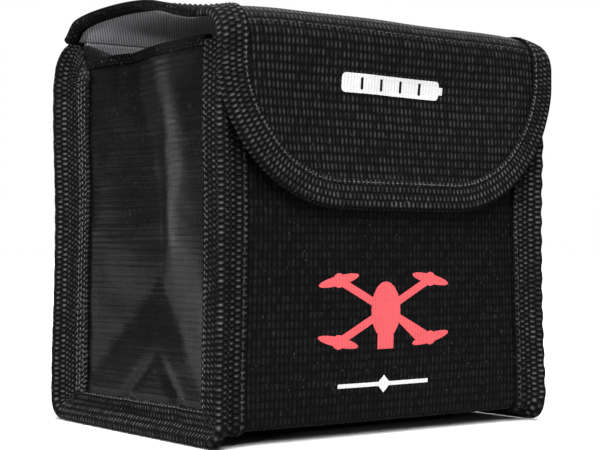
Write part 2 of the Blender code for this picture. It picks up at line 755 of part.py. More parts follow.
def plate(name, outlines, y, z, finish, group):
    """A thin print standing in the front view, from closed outlines of (x, z); the inner ones are holes."""
    curve = bpy.data.curves.new(name, "CURVE")
    curve.dimensions = "2D"
    curve.fill_mode = "BOTH"
    curve.extrude = PRINT / 2
    for outline in outlines:
        line = curve.splines.new("POLY")
        line.points.add(len(outline) - 1)
        for point, (px, pz) in zip(line.points, outline):
            point.co = (px, pz, 0, 1)
        line.use_cyclic_u = True
    curve.materials.append(finish)
    obj = bpy.data.objects.new(name, curve)
    obj.location = (PRINTS_ASIDE, y, z)
    obj.rotation_euler = (math.pi / 2, 0, 0)
    group.objects.link(obj)
    return obj


def rounded_box(width, height, radius, x=0.0, z=0.0, steps=3):
    points = []
    for quarter, (sx, sz) in enumerate([(1, 1), (-1, 1), (-1, -1), (1, -1)]):
        for i in range(steps + 1):
            turn = math.pi / 2 * (quarter + i / steps)
            points.append(
                (
                    x + sx * (width / 2 - radius) + radius * math.cos(turn),
                    z + sz * (height / 2 - radius) + radius * math.sin(turn),
                )
            )
    return points


def print_y(height, reach):
    """y of the middle of a flat print on the front panel, just clear of the cloth behind all of it."""
    foremost = min(front_face(0, height + reach * k / 8) for k in range(-8, 9))
    return foremost - SHELL / 2 - GAP - PRINT / 2


def make_cell_mark(finish, group):
    """A plain battery sign on the flap: a solid cell with slits between its charge bars, and a terminal."""
    width, height, terminal = 0.0430, 0.0066, 0.0016
    slits, slit_width, slit_height = 4, 0.0012, 0.0042
    pitch = width / (slits + 1)
    shoulder = height / 5
    nub = [
        (width / 2, -shoulder),
        (width / 2 + terminal, -shoulder),
        (width / 2 + terminal, shoulder),
        (width / 2, shoulder),
    ]
    outlines = [rounded_box(width, height, 0.0016) + nub]
    for k in range(slits):
        outlines.append(rounded_box(slit_width, slit_height, 0.0004, pitch * (k + 1) - width / 2))
    y = FLAP_Y - SHELL / 2 - GAP - PRINT / 2
    return plate("flap_cell_mark", outlines, y, CELL_MARK_HEIGHT, finish, group)


def make_line_mark(finish, group):
    """A plain rule with a diamond at its middle, below the emblem."""
    length, half_line, diamond, half_diamond = 0.040, 0.0007, 0.0030, 0.0030
    neck = half_diamond * (1 - half_line / diamond)
    right = [
        (neck, half_line),
        (length / 2, half_line),
        (length / 2, -half_line),
        (neck, -half_line),
        (0.0, -diamond),
    ]
    left = [(-x, -z) for x, z in right]
    y = print_y(LINE_MARK_HEIGHT, diamond)
    return plate("front_line_mark", [right + left], y, LINE_MARK_HEIGHT, finish, group)


def emblem_plate(name, size, place, turn, share, group, round_it=False):
    """One straight or round plate of the emblem, of a share of the print's thickness, so that no two faces
    lie in one plane."""
    bm = bmesh.new()
    if round_it:
        bmesh.ops.create_cone(bm, cap_ends=True, segments=20, radius1=0.5, radius2=0.5, depth=1.0)
    else:
        bmesh.ops.create_cube(bm, size=1.0)
    width, height = size
    for vert in bm.verts:
        vert.co.x *= width
        vert.co.y *= height
        vert.co.z *= share * PRINT
    mesh = bpy.data.meshes.new(name)
    bm.to_mesh(mesh)
    bm.free()
    obj = bpy.data.objects.new(name, mesh)
    x, z = place
    obj.location = (PRINTS_ASIDE + x, print_y(EMBLEM_HEIGHT, EMBLEM_REACH), EMBLEM_HEIGHT + z)
    obj.rotation_euler = (math.pi / 2, turn, 0)
    group.objects.link(obj)
    return obj


def make_emblem(finish, group, helpers):
    """A plain four-rotor aircraft seen from above: a hull, a nose, two crossed arms, and four rotors."""
    hull = emblem_plate("front_emblem", HULL_SIZE, (0, 0), 0, 1.0, group, True)
    hull.data.materials.append(finish)
    arm = (2 * math.hypot(ROTOR_ASIDE, ROTOR_ABOVE), ARM_WIDTH)
    arm_turn = math.atan2(ROTOR_ABOVE, ROTOR_ASIDE)
    pieces = [
        emblem_plate("emblem_nose", NOSE_SIZE, (0, -NOSE_BELOW), 0, 0.98, helpers),
        emblem_plate("emblem_arm_a", arm, (0, 0), arm_turn, 0.96, helpers),
        emblem_plate("emblem_arm_b", arm, (0, 0), -arm_turn, 0.94, helpers),
    ]
    for k, (aside, above) in enumerate([(-1, 1), (1, 1), (-1, -1), (1, -1)]):
        place = (aside * ROTOR_ASIDE, above * ROTOR_ABOVE)
        turn = BLADE_TURN * aside * above
        pieces.append(emblem_plate(f"emblem_motor_{k}", MOTOR_SIZE, place, 0, 0.92, helpers, True))
        pieces.append(emblem_plate(f"emblem_blade_{k}", BLADE_SIZE, place, turn, 0.90, helpers, True))
    for piece in pieces:
        piece.hide_render = True
        piece.display_type = "WIRE"
        union = hull.modifiers.new(piece.name, "BOOLEAN")
        union.operation = "UNION"
        union.object = piece
    return hull


def main():
    clear_scene()
    bag = collection("battery_bag")
    helpers = collection("print_helpers")
    black_cloth = material("coated_black_cloth", (0.012, 0.012, 0.013), 0.45)
    silver_cloth = material("silver_glass_cloth", (0.42, 0.42, 0.44), 0.42, 0.35)
    webbing = material("black_webbing", (0.015, 0.015, 0.016), 0.70)
    fastener = material("hook_and_loop", (0.010, 0.010, 0.011), 0.90)
    sewing = material("black_thread", (0.030, 0.030, 0.032), 0.60)
    red_print = material("red_print", (0.93, 0.12, 0.14), 0.55)
    white_print = material("white_print", (0.90, 0.90, 0.90), 0.55)

    make_panels(black_cloth, bag)
    make_lining_strip(silver_cloth, bag)
    for side in (-1, 1):
        make_gusset(side, black_cloth, bag)
        make_gusset_lining(side, silver_cloth, bag)
        make_seam_bindings(side, webbing, bag)
        make_gusset_hem(side, webbing, bag)
        make_seam_thread(side, sewing, bag)
        make_lid_binding(side, webbing, bag)
        make_lid_thread(side, sewing, bag)
    make_mouth_hem(webbing, bag)
    make_loop_strip(fastener, bag)

    make_lid("lid_shell", SHELL, 0.0, black_cloth, bag)
    make_lid("lid_lining", LINING, -LINING_UNDER, silver_cloth, bag)
    make_flap("flap_shell", SHELL, 0.0, black_cloth, bag)
    make_flap("flap_lining", LINING, -LINING_UNDER, silver_cloth, bag)
    make_flap_binding(webbing, bag)
    make_hook_strip(fastener, bag)
    make_flap_thread(sewing, bag)
    make_fold_thread(sewing, bag)
    make_cell_mark(white_print, bag)
    make_line_mark(white_print, bag)
    make_emblem(red_print, bag, helpers)


main()
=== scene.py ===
"""The looks of a drone battery bag: coated cloth, folded webbing, stitches, linings and prints."""

import json
import math

import bmesh
import bpy
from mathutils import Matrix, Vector, noise


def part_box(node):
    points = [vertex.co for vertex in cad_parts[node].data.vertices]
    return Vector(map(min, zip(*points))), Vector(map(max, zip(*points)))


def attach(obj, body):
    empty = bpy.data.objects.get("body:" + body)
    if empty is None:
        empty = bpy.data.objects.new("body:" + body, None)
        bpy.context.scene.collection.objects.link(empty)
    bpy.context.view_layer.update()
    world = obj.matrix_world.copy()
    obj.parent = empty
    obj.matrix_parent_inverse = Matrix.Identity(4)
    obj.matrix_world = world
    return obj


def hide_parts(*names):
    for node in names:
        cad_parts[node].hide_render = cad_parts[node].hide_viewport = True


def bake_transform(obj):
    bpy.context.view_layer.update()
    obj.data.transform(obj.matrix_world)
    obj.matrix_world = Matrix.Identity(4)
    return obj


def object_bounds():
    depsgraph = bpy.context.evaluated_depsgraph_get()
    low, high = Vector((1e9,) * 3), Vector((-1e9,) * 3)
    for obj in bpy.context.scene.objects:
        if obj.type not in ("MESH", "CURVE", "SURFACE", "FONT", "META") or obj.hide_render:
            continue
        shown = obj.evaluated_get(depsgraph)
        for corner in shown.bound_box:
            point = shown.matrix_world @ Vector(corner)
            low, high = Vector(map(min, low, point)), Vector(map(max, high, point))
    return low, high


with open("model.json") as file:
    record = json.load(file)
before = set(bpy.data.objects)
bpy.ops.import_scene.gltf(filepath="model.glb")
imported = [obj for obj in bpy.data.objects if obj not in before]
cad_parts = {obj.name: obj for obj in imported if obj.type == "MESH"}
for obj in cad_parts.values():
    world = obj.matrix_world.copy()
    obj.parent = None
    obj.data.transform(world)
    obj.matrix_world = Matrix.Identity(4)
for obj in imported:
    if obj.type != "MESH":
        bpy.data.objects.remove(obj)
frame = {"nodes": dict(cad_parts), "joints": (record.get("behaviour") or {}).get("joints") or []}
cad_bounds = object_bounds()

# ---------------------------------------------------------------- how the bag is sewn, in metres

SHELL, LINING, TAPE = 0.0006, 0.0004, 0.0008  # thickness of the outer cloth, the lining and the webbing
GAP = 0.0002  # between layers
TAPE_EDGE_RADIUS = 0.0008  # of the seam tape's inner edge at the gusset's lower corners
PUCKER, PUCKER_EVERY = 0.00018, 0.0071  # the seam tape's fold wavers between its stitches
FLANGE_RUN, FLANGE_RUN_AT_LID = 0.0028, 0.0006  # from a seam's corner to the middle of its tape's fold
FLANGE_TAPER_START = 0.45
TAPE_ON_STRIP = 0.0080
TAPE_IN_FRONT, TAPE_BELOW, TAPE_BEHIND = 0.0115, 0.0070, 0.0175  # on the gusset, inside each of its seams
EDGE_TAPE = 0.0105  # width of the lid and flap's tape on each face
EDGE_TAPE_UNDER_LID = 0.0045  # but below the lid it is narrower
HEM_HEIGHT = 0.0036
HEM_ABOVE = 0.0016  # from a cloth's upper edge to its hem's fold
CLOTH_INSET = 0.0012  # from a tape's fold to the edge of the cloth in it
STITCHES_INSET = 0.0018  # from a tape's edge to its stitches
STRIP_LIFT, STRIP_THICKNESS = 0.0007, 0.0010  # the hook and loop strips, from the cloth to their middle
INK_LIFT, INK_THICKNESS = 0.00010, 0.00008
BOTTOM_CORNER_RADIUS = 0.0035
TIGHTEST_BEND = 0.0004  # of any layer at the bottom's corners
BACK_BEND_RADIUS, BACK_BEND_ANGLE = 0.020, math.radians(62)
BEND_BELOW_GUSSET = 0.0080
ROLL_RADIUS = 0.010
FLAP_CORNER_RADIUS = 0.050
LID_RISE, LID_EDGE_LIFT, LID_CURL_START = 0.0040, 0.0030, 0.007
FRONT_PUFF = 0.0022  # how far the roll stands up past the frame's
CORNER_DROOP = 0.0032
FRONT_FULLNESS = 0.0024
CREASE_DEPTH = 0.0066

FLANGE_GAP = 0.0003  # between a flange's two cloths, and between them and the tape
OFFSET = FLANGE_GAP / 2 + SHELL + FLANGE_GAP + TAPE / 2  # from a flange's middle to its tape's middle
RIDGE_REACH = FLANGE_RUN + OFFSET + TAPE / 2
TAPE_OVER = SHELL / 2 + GAP + TAPE / 2
LINING_UNDER = SHELL / 2 + GAP + LINING / 2
TAPE_UNDER = LINING_UNDER + LINING / 2 + GAP + TAPE / 2

# Places that come from the frame
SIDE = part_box("seam_binding_bottom_right")[1].x - RIDGE_REACH
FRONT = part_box("seam_binding_front_left")[0].y + RIDGE_REACH
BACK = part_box("seam_binding_back_left")[1].y - RIDGE_REACH
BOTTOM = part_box("seam_binding_bottom_left")[0].z + RIDGE_REACH
GUSSET_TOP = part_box("gusset_left")[1].z
MOUTH_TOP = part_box("front_panel")[1].z
LID_HALF_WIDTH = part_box("flap_binding")[1].x
FLAP_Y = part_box("flap_shell")[0].y + SHELL / 2
FLAP_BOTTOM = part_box("flap_binding")[0].z
LID_FRONT_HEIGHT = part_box("flap_shell")[1].z - SHELL / 2 + FRONT_PUFF
HOOKS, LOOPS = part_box("hook_strip"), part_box("loop_strip")
LID_HINGE, FLAP_HINGE = (Vector(joint["pos_m"]) for joint in frame["joints"])
MIDDLE = (FRONT + BACK) / 2
BACK_BEND_START = GUSSET_TOP - BEND_BELOW_GUSSET

# How stiff cloth wavers, as (size, distance, seed) for each set of waves. The body's are for x, y and z.
SETTLING = (0.0011, 0.055, 3.0), (0.0009, 0.050, 7.0), (0.0007, 0.060, 11.0)
STRIP_RIPPLES = (0.00035, 0.016, 5.0), (0.00012, 0.006, 9.0)
GUSSET_RIPPLES = (0.0005, 0.018, 21.0), (0.00018, 0.007, 31.0)
LID_WAVES = (0.0008, 0.040, 2.0)
FLAP_RIPPLES = (0.0009, 0.030, 4.0), (0.0002, 0.009, 8.0)
HELD_BY_GROUND = 0.03  # the ground holds the body's shape at its foot, and no longer at this height
FOOT_FLARE, FLARE_HEIGHT = 0.0009, 0.05  # the sides stand out a little at the foot


def lerp(a, b, t):
    return a + (b - a) * t


def clamp(t, low=0.0, high=1.0):
    return min(max(t, low), high)


def smoothstep(t):
    t = clamp(t)
    return t * t * (3 - 2 * t)


def ramp(value, start, over):
    """Rises smoothly from 0 at the start to 1 at that distance past it."""
    return smoothstep((value - start) / over)


def soft_min(a, b, width):
    """The smaller of two values, with the corner between them rounded over that width."""
    h = clamp(0.5 + 0.5 * (b - a) / width)
    return lerp(b, a, h) - width * h * (1 - h)


def spaced(start, end, step):
    """Evenly spaced values from start to end, about a step apart."""
    count = max(1, round(abs(end - start) / step))
    return [lerp(start, end, i / count) for i in range(count + 1)]


def rumple(point, size, distance, seed):
    """A smooth random value, up to about size either way, that changes over about that distance."""
    return size * noise.noise(Vector(point) / distance + Vector((seed, 2 * seed, -seed)))


def ripples(point, waves):
    """Several sets of waves, added up."""
    return sum(rumple(point, *wave) for wave in waves)


def settle(point):
    """Moves a point of the body a little, alike for every layer there, so that no seam is quite straight."""
    x, y, z = point
    flare = FOOT_FLARE * (1 - smoothstep(z / FLARE_HEIGHT))
    aside = math.copysign(flare, x) * smoothstep(abs(x) / SIDE)
    standing = smoothstep(z / HELD_BY_GROUND)
    moves = [rumple(point, *waves) * standing for waves in SETTLING]
    return x + aside + moves[0], y + moves[1], z + moves[2]


def running_lengths(points):
    """The length of a line up to each of its points."""
    lengths = [0.0]
    for a, b in zip(points, points[1:]):
        lengths.append(lengths[-1] + (b - a).length)
    return lengths


def find_step(lengths, s):
    """k for the step of a line, from point k - 1 to point k, that holds its length s, and s's share of it."""
    k = 1
    while k < len(lengths) - 1 and lengths[k] < s:
        k += 1
    return k, (s - lengths[k - 1]) / max(lengths[k] - lengths[k - 1], 1e-9)


# ---------------------------------------------------------------- the path round the body


def round_box(stretch, t, front, back, low, radius):
    """(y, z) at share t of a stretch of the path down, along and up a box with two round corners."""
    if stretch == "front":
        return front, lerp(GUSSET_TOP, low + radius, t)
    if stretch == "front_corner":
        turn = math.pi + t * math.pi / 2
        return front + radius + radius * math.cos(turn), low + radius + radius * math.sin(turn)
    if stretch == "bottom":
        return lerp(front + radius, back - radius, t), low
    if stretch == "back_corner":
        turn = 1.5 * math.pi + t * math.pi / 2
        return back - radius + radius * math.cos(turn), low + radius + radius * math.sin(turn)
    return back, lerp(low + radius, BACK_BEND_START, t)


def path_point(stretch, t, out):
    """(y, z) at share t of a stretch of the path round the body, moved out from the cloth by that much."""
    if stretch == "bend":
        turn = t * BACK_BEND_ANGLE
        reach = BACK_BEND_RADIUS + out
        return BACK - BACK_BEND_RADIUS + reach * math.cos(turn), BACK_BEND_START + reach * math.sin(turn)
    radius = max(BOTTOM_CORNER_RADIUS + out, TIGHTEST_BEND)
    return round_box(stretch, t, FRONT - out, BACK + out, BOTTOM - out, radius)


STRETCHES = {
    "front": GUSSET_TOP - BOTTOM - BOTTOM_CORNER_RADIUS,
    "front_corner": BOTTOM_CORNER_RADIUS * math.pi / 2,
    "bottom": BACK - FRONT - 2 * BOTTOM_CORNER_RADIUS,
    "back_corner": BOTTOM_CORNER_RADIUS * math.pi / 2,
    "back": BACK_BEND_START - BOTTOM - BOTTOM_CORNER_RADIUS,
    "bend": BACK_BEND_RADIUS * BACK_BEND_ANGLE,
}


def path_rows(step=0.002):
    """(stretch, share, length from the mouth) for each row of cloth round the body."""
    rows, done = [], 0.0
    for stretch, length in STRETCHES.items():
        count = max(6, round(length / step))
        rows += [(stretch, i / count, done + length * i / count) for i in range(count)]
        done += length
    return rows + [("bend", 1.0, done)]


def flange_run(stretch, t):
    """How far the flange's fold stands out, at a station of the path."""
    if stretch != "bend":
        return FLANGE_RUN
    return lerp(FLANGE_RUN, FLANGE_RUN_AT_LID, ramp(t, FLANGE_TAPER_START, 1 - FLANGE_TAPER_START))


SAG_EDGE_ACROSS, SAG_EDGE_ALONG = 0.35, 0.2  # shares of the bottom over which it comes down to the ground
BELLY_ABOVE = 0.12  # share of the front's belly that lies above the gussets, and is cut off


def strip_out(x, stretch, t):
    """How far the strip's cloth stands out from the path: it bellies between the seams."""
    clear = SIDE - TAPE_ON_STRIP
    across = max(1 - (x / clear) ** 2, 0.0)
    if stretch == "bottom":
        sideways = smoothstep((1 - abs(x) / clear) / SAG_EDGE_ACROSS)
        lengthways = smoothstep(t / SAG_EDGE_ALONG) * smoothstep((1 - t) / SAG_EDGE_ALONG)
        return (BOTTOM - SHELL / 2) * sideways * lengthways
    if stretch == "front":
        return FRONT_FULLNESS * across * math.sin(math.pi * lerp(BELLY_ABOVE, 1.0, t))
    if stretch == "back":
        return FRONT_FULLNESS * across * math.sin(math.pi * t)
    return 0.0


def strip_point(x, stretch, t, out=0.0):
    """A point of the body's strip, that far outside the middle of its cloth."""
    y, z = path_point(stretch, t, strip_out(x, stretch, t) + out)
    ripple = ripples((x, y, z), STRIP_RIPPLES) * smoothstep((SIDE - TAPE_ON_STRIP - abs(x)) / 0.012)
    if stretch == "front":
        y -= ripple
    if stretch == "back":
        y += ripple
    return settle((x, y, z))


def front_share(z):
    """The front stretch's share at a height."""
    return (GUSSET_TOP - z) / STRETCHES["front"]


def front_point(x, z, out=0.0):
    return strip_point(x, "front", front_share(z), out)


def body_edges(z, out):
    """y of the path round the body at a height, in front and at the back, moved out by that much."""
    radius = max(BOTTOM_CORNER_RADIUS + out, 0.0)
    under = max(BOTTOM + BOTTOM_CORNER_RADIUS - z, 0.0)
    narrower = radius - math.sqrt(max(radius**2 - under**2, 0.0))
    over = max(z - BACK_BEND_START, 0.0)
    reach = BACK_BEND_RADIUS + out
    back = BACK + out - narrower - reach + math.sqrt(max(reach**2 - over**2, 0.0))
    return FRONT - out + narrower, back


# ---------------------------------------------------------------- the gussets' creases

FORK = (MIDDLE - 0.0050, 0.0547)  # where the valley forks, as (y, z)
VALLEY_TOP_Y = MIDDLE + 0.0140
FOOT_HEIGHT = BOTTOM + 0.0085
SHOULDER = 0.010  # flat cloth beside the seams
HOLLOW_IN_FRONT, HOLLOW_BEHIND = 1.6, 1.15  # how much the cloth hangs back before it falls into the valley
FULL_IN_FRONT, FULL_BEHIND, FULL_ABOVE = 0.36, 0.22, 0.040  # bulges beside the valley, as shares of its depth
ROUND_AT_FORK, ROUND_AT_TOP = 0.05, 0.26  # how round the valley is, as shares of its depth
DEPTH_AT_MOUTH = 0.78  # share of the depth that is left where the mouth's tape holds the cloth
PLEAT_DEPTH, PLEAT_HALF_WIDTH = 0.0009, 0.0050
PLEAT_FROM_BACK, PLEAT_LEAN = 0.0225, 0.011
SMALL_FORK = (MIDDLE - 0.0100, 0.0290)
SMALL_LEG_SPREAD = 0.0170
SMALL_DEPTH, SMALL_HALF_WIDTH = 0.0011, 0.0035


def valley_y(z):
    """y of the gusset's valley, which leans back towards the top."""
    t = clamp((z - FORK[1]) / (GUSSET_TOP - FORK[1]))
    return lerp(FORK[0], VALLEY_TOP_Y, t * t)


def hill(distance, half_width):
    """1 at no distance, falling off to nothing on both sides."""
    return math.exp(-((distance / half_width) ** 2))


def main_valley(y, z):
    """Depth of the valley and of the two legs it forks into, between bulges of the cloth beside it."""
    front, back = FRONT + SHOULDER, BACK - SHOULDER
    centre = valley_y(z)
    if y < centre:
        reach, full = (y - front) / (centre - front), FULL_IN_FRONT
        hollow = lerp(1.0, HOLLOW_IN_FRONT, ramp(z, FORK[1] - 0.010, 0.03))
    else:
        reach, full, hollow = (back - y) / (back - centre), FULL_BEHIND, HOLLOW_BEHIND
    foot = clamp((z - FOOT_HEIGHT) / (FORK[1] - FOOT_HEIGHT), -0.2, 3.0)
    rounding = lerp(ROUND_AT_FORK, ROUND_AT_TOP, ramp(z, FORK[1], 0.07))
    depth = soft_min(clamp(reach, 0.0, 1.2) ** hollow, foot, ROUND_AT_FORK)
    depth = soft_min(depth, 1.0 - 0.12 * rounding, rounding)
    depth = max(depth, 0.0) * lerp(1.0, DEPTH_AT_MOUTH, ramp(z, 0.10, 0.04))
    bulge = full * math.sin(math.pi * clamp(reach)) * ramp(z, FULL_ABOVE, 0.03)
    return CREASE_DEPTH * (depth - bulge)


def small_valley(y, z):
    """Depth of the smaller forked fold at the foot."""
    spread = SMALL_LEG_SPREAD * clamp((SMALL_FORK[1] - z) / (SMALL_FORK[1] - FOOT_HEIGHT))
    beside = abs(y - SMALL_FORK[0]) - spread
    return SMALL_DEPTH * clamp((SMALL_FORK[1] + 0.004 - z) / 0.016) * hill(beside, SMALL_HALF_WIDTH)


def pleat(y, z):
    """Height of the soft pleat that stands out beside the rear tape."""
    middle = BACK - PLEAT_FROM_BACK - PLEAT_LEAN * ramp(z, 0.06, 0.06)
    return PLEAT_DEPTH * hill(y - middle, PLEAT_HALF_WIDTH) * ramp(z, 0.025, 0.03)


def crease_depth(y, z):
    """How far the gusset is folded in."""
    return main_valley(y, z) + small_valley(y, z) - pleat(y, z)


def gusset_point(y, z, side, out=0.0):
    """A point of a gusset, that far outside the middle of its cloth."""
    place = (side * SIDE, y * (1 if side < 0 else -1), z)
    ripple = ripples(place, GUSSET_RIPPLES) * ramp(min(y - FRONT, BACK - y, z - BOTTOM), SHOULDER, 0.01)
    return settle((side * (SIDE - crease_depth(y, z) + ripple + out), y, z))


# ---------------------------------------------------------------- the lid and flap's profile


def spline(points, steps=16):
    """A Catmull-Rom curve through all the points but the first and the last, which only steer its ends."""
    line = []
    for a, b, c, d in zip(points, points[1:], points[2:], points[3:]):
        for i in range(steps):
            t = i / steps
            pull = (2 * b, (c - a) * t, (2 * a - 5 * b + 4 * c - d) * t**2, (3 * b - a - 3 * c + d) * t**3)
            line.append(0.5 * sum(pull, Vector((0, 0))))
    return line + [points[-2]]


def cover_line():
    """The lid from its back fold over the crest to the front roll, and the flap down to its lower edge."""
    back = Vector(path_point("bend", 1.0, 0.0))
    roll_y = FLAP_Y + ROLL_RADIUS
    crest = back.y + LID_RISE
    lid = spline(
        [
            Vector(path_point("bend", 0.8, 0.0)),
            back,
            Vector((lerp(back.x, roll_y, 0.12), lerp(back.y, crest, 0.8))),
            Vector((lerp(back.x, roll_y, 0.30), crest)),
            Vector((lerp(back.x, roll_y, 0.62), lerp(crest, LID_FRONT_HEIGHT, 0.30))),
            Vector((roll_y, LID_FRONT_HEIGHT)),
            Vector((FLAP_Y, LID_FRONT_HEIGHT - 0.2 * ROLL_RADIUS)),
        ]
    )
    centre = Vector((roll_y, LID_FRONT_HEIGHT - ROLL_RADIUS))
    turns = [math.radians(a) for a in range(6, 91, 6)]
    roll = [centre + ROLL_RADIUS * Vector((-math.sin(a), math.cos(a))) for a in turns]
    drop = [Vector((FLAP_Y, z)) for z in spaced(centre.y, FLAP_BOTTOM, 0.002)[1:]]
    return lid + roll + drop


COVER = cover_line()
COVER_LENGTHS = running_lengths(COVER)
FLAP_END = COVER_LENGTHS[-1]
ROLL_END = FLAP_END - (LID_FRONT_HEIGHT - ROLL_RADIUS - FLAP_BOTTOM)
SPLIT_BEFORE_ROLL = 0.004
SPLIT = ROLL_END - ROLL_RADIUS * math.pi / 2 - SPLIT_BEFORE_ROLL  # between the lid's cloth and the flap's


def cover_at(s, out=0.0):
    """(y, z) at length s from the back fold, moved out to the cloth's upper side."""
    k, t = find_step(COVER_LENGTHS, s)
    a, b = COVER[k - 1], COVER[k]
    along = (b - a) / (COVER_LENGTHS[k] - COVER_LENGTHS[k - 1])
    return a.lerp(b, t) + out * Vector((along.y, -along.x))


FLAT_FROM = 0.6  # share of the lid's length past which its edges come down to the roll
ROLL_EASE = 0.018  # length over which the flap comes off the roll, and lets go of the hooks at its lower edge
HELD_IN, HELD_HALF_WIDTH, HELD_AT_EDGE = 0.0022, 0.030, 0.55
NARROWER_RIGHT = 0.036  # share by which the cover's right edge is drawn in


def cover_point(x, s, out=0.0):
    """A point of the lid or flap. The lid's edges curl up, and the flap is drawn in where its hooks hold."""
    y, z = cover_at(s, out)
    aside, down = abs(x) / LID_HALF_WIDTH, ramp(s, ROLL_END, ROLL_EASE)
    forward = ramp(clamp(s / SPLIT), FLAT_FROM, 1 - FLAT_FROM)
    z += LID_EDGE_LIFT * smoothstep(s / LID_CURL_START) * (1 - forward) * aside**4
    z -= CORNER_DROOP * aside**8 * forward * (1 - 0.6 * down)
    z += rumple((x, y, 0.0), *LID_WAVES) * smoothstep(s / 0.02) * (1 - ramp(s, SPLIT, 0.02))
    held = 1 - ramp(abs(x), HELD_HALF_WIDTH, HELD_HALF_WIDTH)
    y += HELD_IN * down * held * lerp(HELD_AT_EDGE, 1.0, smoothstep((FLAP_END - s) / ROLL_EASE))
    y += down * ripples((x, 0.0, z), FLAP_RIPPLES)
    drawn_in = NARROWER_RIGHT * smoothstep(x / LID_HALF_WIDTH) * smoothstep(s / 0.03)
    return settle((x * (1 - drawn_in), y, z))


# ---------------------------------------------------------------- meshes


def make_object(name, bm):
    """An object in the scene with the bmesh's faces."""
    mesh = bpy.data.meshes.new(name)
    bm.to_mesh(mesh)
    bm.free()
    obj = bpy.data.objects.new(name, mesh)
    bpy.context.scene.collection.objects.link(obj)
    return obj


def thicken(obj, name, thickness, even=True):
    """Gives a surface a thickness, which its two sides share."""
    solidify = obj.modifiers.new(name, "SOLIDIFY")
    solidify.thickness = thickness
    solidify.offset = 0
    solidify.use_even_offset = even


def shade(obj, finish):
    """Gives an object its material."""
    obj.data.materials.append(finish)
    obj.data.shade_smooth()
    return obj


def surface(name, columns, rows, place, pattern, finish, thickness, flip=False):
    """A grid laid out by place(column, row), with its woven pattern's coordinates from pattern(column, row).

    The surface is the middle of the cloth, and flip turns its faces the other way."""
    bm = bmesh.new()
    grid = [[bm.verts.new(place(column, row)) for column in columns] for row in rows]
    uv = bm.loops.layers.uv.new("weave")
    for j in range(len(rows) - 1):
        for i in range(len(columns) - 1):
            cells = [(i, j), (i + 1, j), (i + 1, j + 1), (i, j + 1)]
            if flip:
                cells.reverse()
            face = bm.faces.new([grid[b][a] for a, b in cells])
            for loop, (a, b) in zip(face.loops, cells):
                loop[uv].uv = pattern(columns[a], rows[b])
    obj = make_object(name, bm)
    thicken(obj, "thickness", thickness)
    return shade(obj, finish)


def fold_section(over, under, over_length, under_length, steps=8):
    """A tape folded over an edge at along = 0, as points of (along, out, length round the tape)."""
    radius, middle = (over + under) / 2, (over - under) / 2
    turns = [math.pi / 2 + math.pi * i / steps for i in range(steps + 1)]
    fold = [(radius + radius * math.cos(a), middle + radius * math.sin(a)) for a in turns]
    legs = spaced(over_length, radius, 0.0014)[:-1], spaced(radius, under_length, 0.0014)[1:]
    return with_lengths([(a, over) for a in legs[0]] + fold + [(a, -under) for a in legs[1]])


def with_lengths(points):
    """The points of a section, each with its length along the section as a last value."""
    done, out = 0.0, []
    for k, point in enumerate(points):
        if k:
            done += math.dist(point[:2], points[k - 1][:2])
        out.append((*point, done))
    return out


def seam_section(steps=8):
    """The seam tape's section at a corner: (beyond the side, out, share of the flange's run, share of the way
    across the gusset's tape, length from the tape's edge)."""
    bend = TAPE_OVER - OFFSET * math.sqrt(2)
    turns = [math.radians(135) - math.pi * i / steps for i in range(steps + 1)]
    strip_leg = [(-a, TAPE_OVER, 0.0) for a in spaced(TAPE_ON_STRIP, -bend, 0.0013)]
    fold = [(OFFSET * math.cos(a), OFFSET * math.sin(a), 1.0) for a in turns]
    points, done = [], 0.0
    for beyond, out, turned in strip_leg + fold + [(TAPE_OVER, bend, 0.0)]:
        run = FLANGE_RUN * turned
        if points:
            done += math.dist((beyond + run, out + run), last)
        points.append((beyond, out, turned, 0.0, done))
        last = (beyond + run, out + run)
    return points + [(TAPE_OVER, bend, 0.0, share, done) for share in spaced(0.0, 1.0, 0.11)[1:]]


def stitches(name, route, finish, length=0.0024, gap=0.0010, radius=0.00026):
    """A row of sewn stitches along a route of (point, outward direction) pairs."""
    lengths = running_lengths([point for point, _ in route])

    def at(s):
        k, t = find_step(lengths, s)
        return route[k - 1][0].lerp(route[k][0], t), route[k - 1][1].lerp(route[k][1], t).normalized()

    bm = bmesh.new()
    sides, rings = 6, 5
    for n in range(int(lengths[-1] / (length + gap))):
        start = n * (length + gap) + 0.5 * gap
        loops = []
        for ring in range(rings):
            t = ring / (rings - 1)
            centre, out = at(start + length * t)
            ahead, _ = at(start + length * min(t + 0.1, 1.1))
            along = (ahead - centre).normalized()
            across = along.cross(out).normalized()
            arch = math.sin(math.pi * t)  # a stitch is thin and sunk at both ends
            centre += out * radius * (1.1 * arch - 0.35)
            size = radius * (0.55 + 0.45 * arch)
            turns = [2 * math.pi * k / sides for k in range(sides)]
            places = [centre + size * (math.sin(a) * out + math.cos(a) * across) for a in turns]
            loops.append([bm.verts.new(place) for place in places])
        for a, b in zip(loops, loops[1:]):
            for k in range(sides):
                bm.faces.new([a[k], a[(k + 1) % sides], b[(k + 1) % sides], b[k]])
        bm.faces.new(loops[0][::-1])
        bm.faces.new(loops[-1])
    bmesh.ops.recalc_face_normals(bm, faces=bm.faces)
    return shade(make_object(name, bm), finish)


def route_along(place, rows, out):
    """A stitch route over a surface: place(row, out) gives its points at a distance out from the cloth."""
    route = []
    for row in rows:
        low, high = Vector(place(row, out)), Vector(place(row, out + 0.001))
        route.append((low, (high - low).normalized()))
    return route


# ---------------------------------------------------------------- shader helpers and groups


NUMBER, VECTOR = "NodeSocketFloat", "NodeSocketVector"


def link(tree, value, socket):
    """Links another node's output to a socket, or sets the socket to a plain value."""
    if isinstance(value, bpy.types.NodeSocket):
        tree.links.new(value, socket)
    else:
        socket.default_value = value


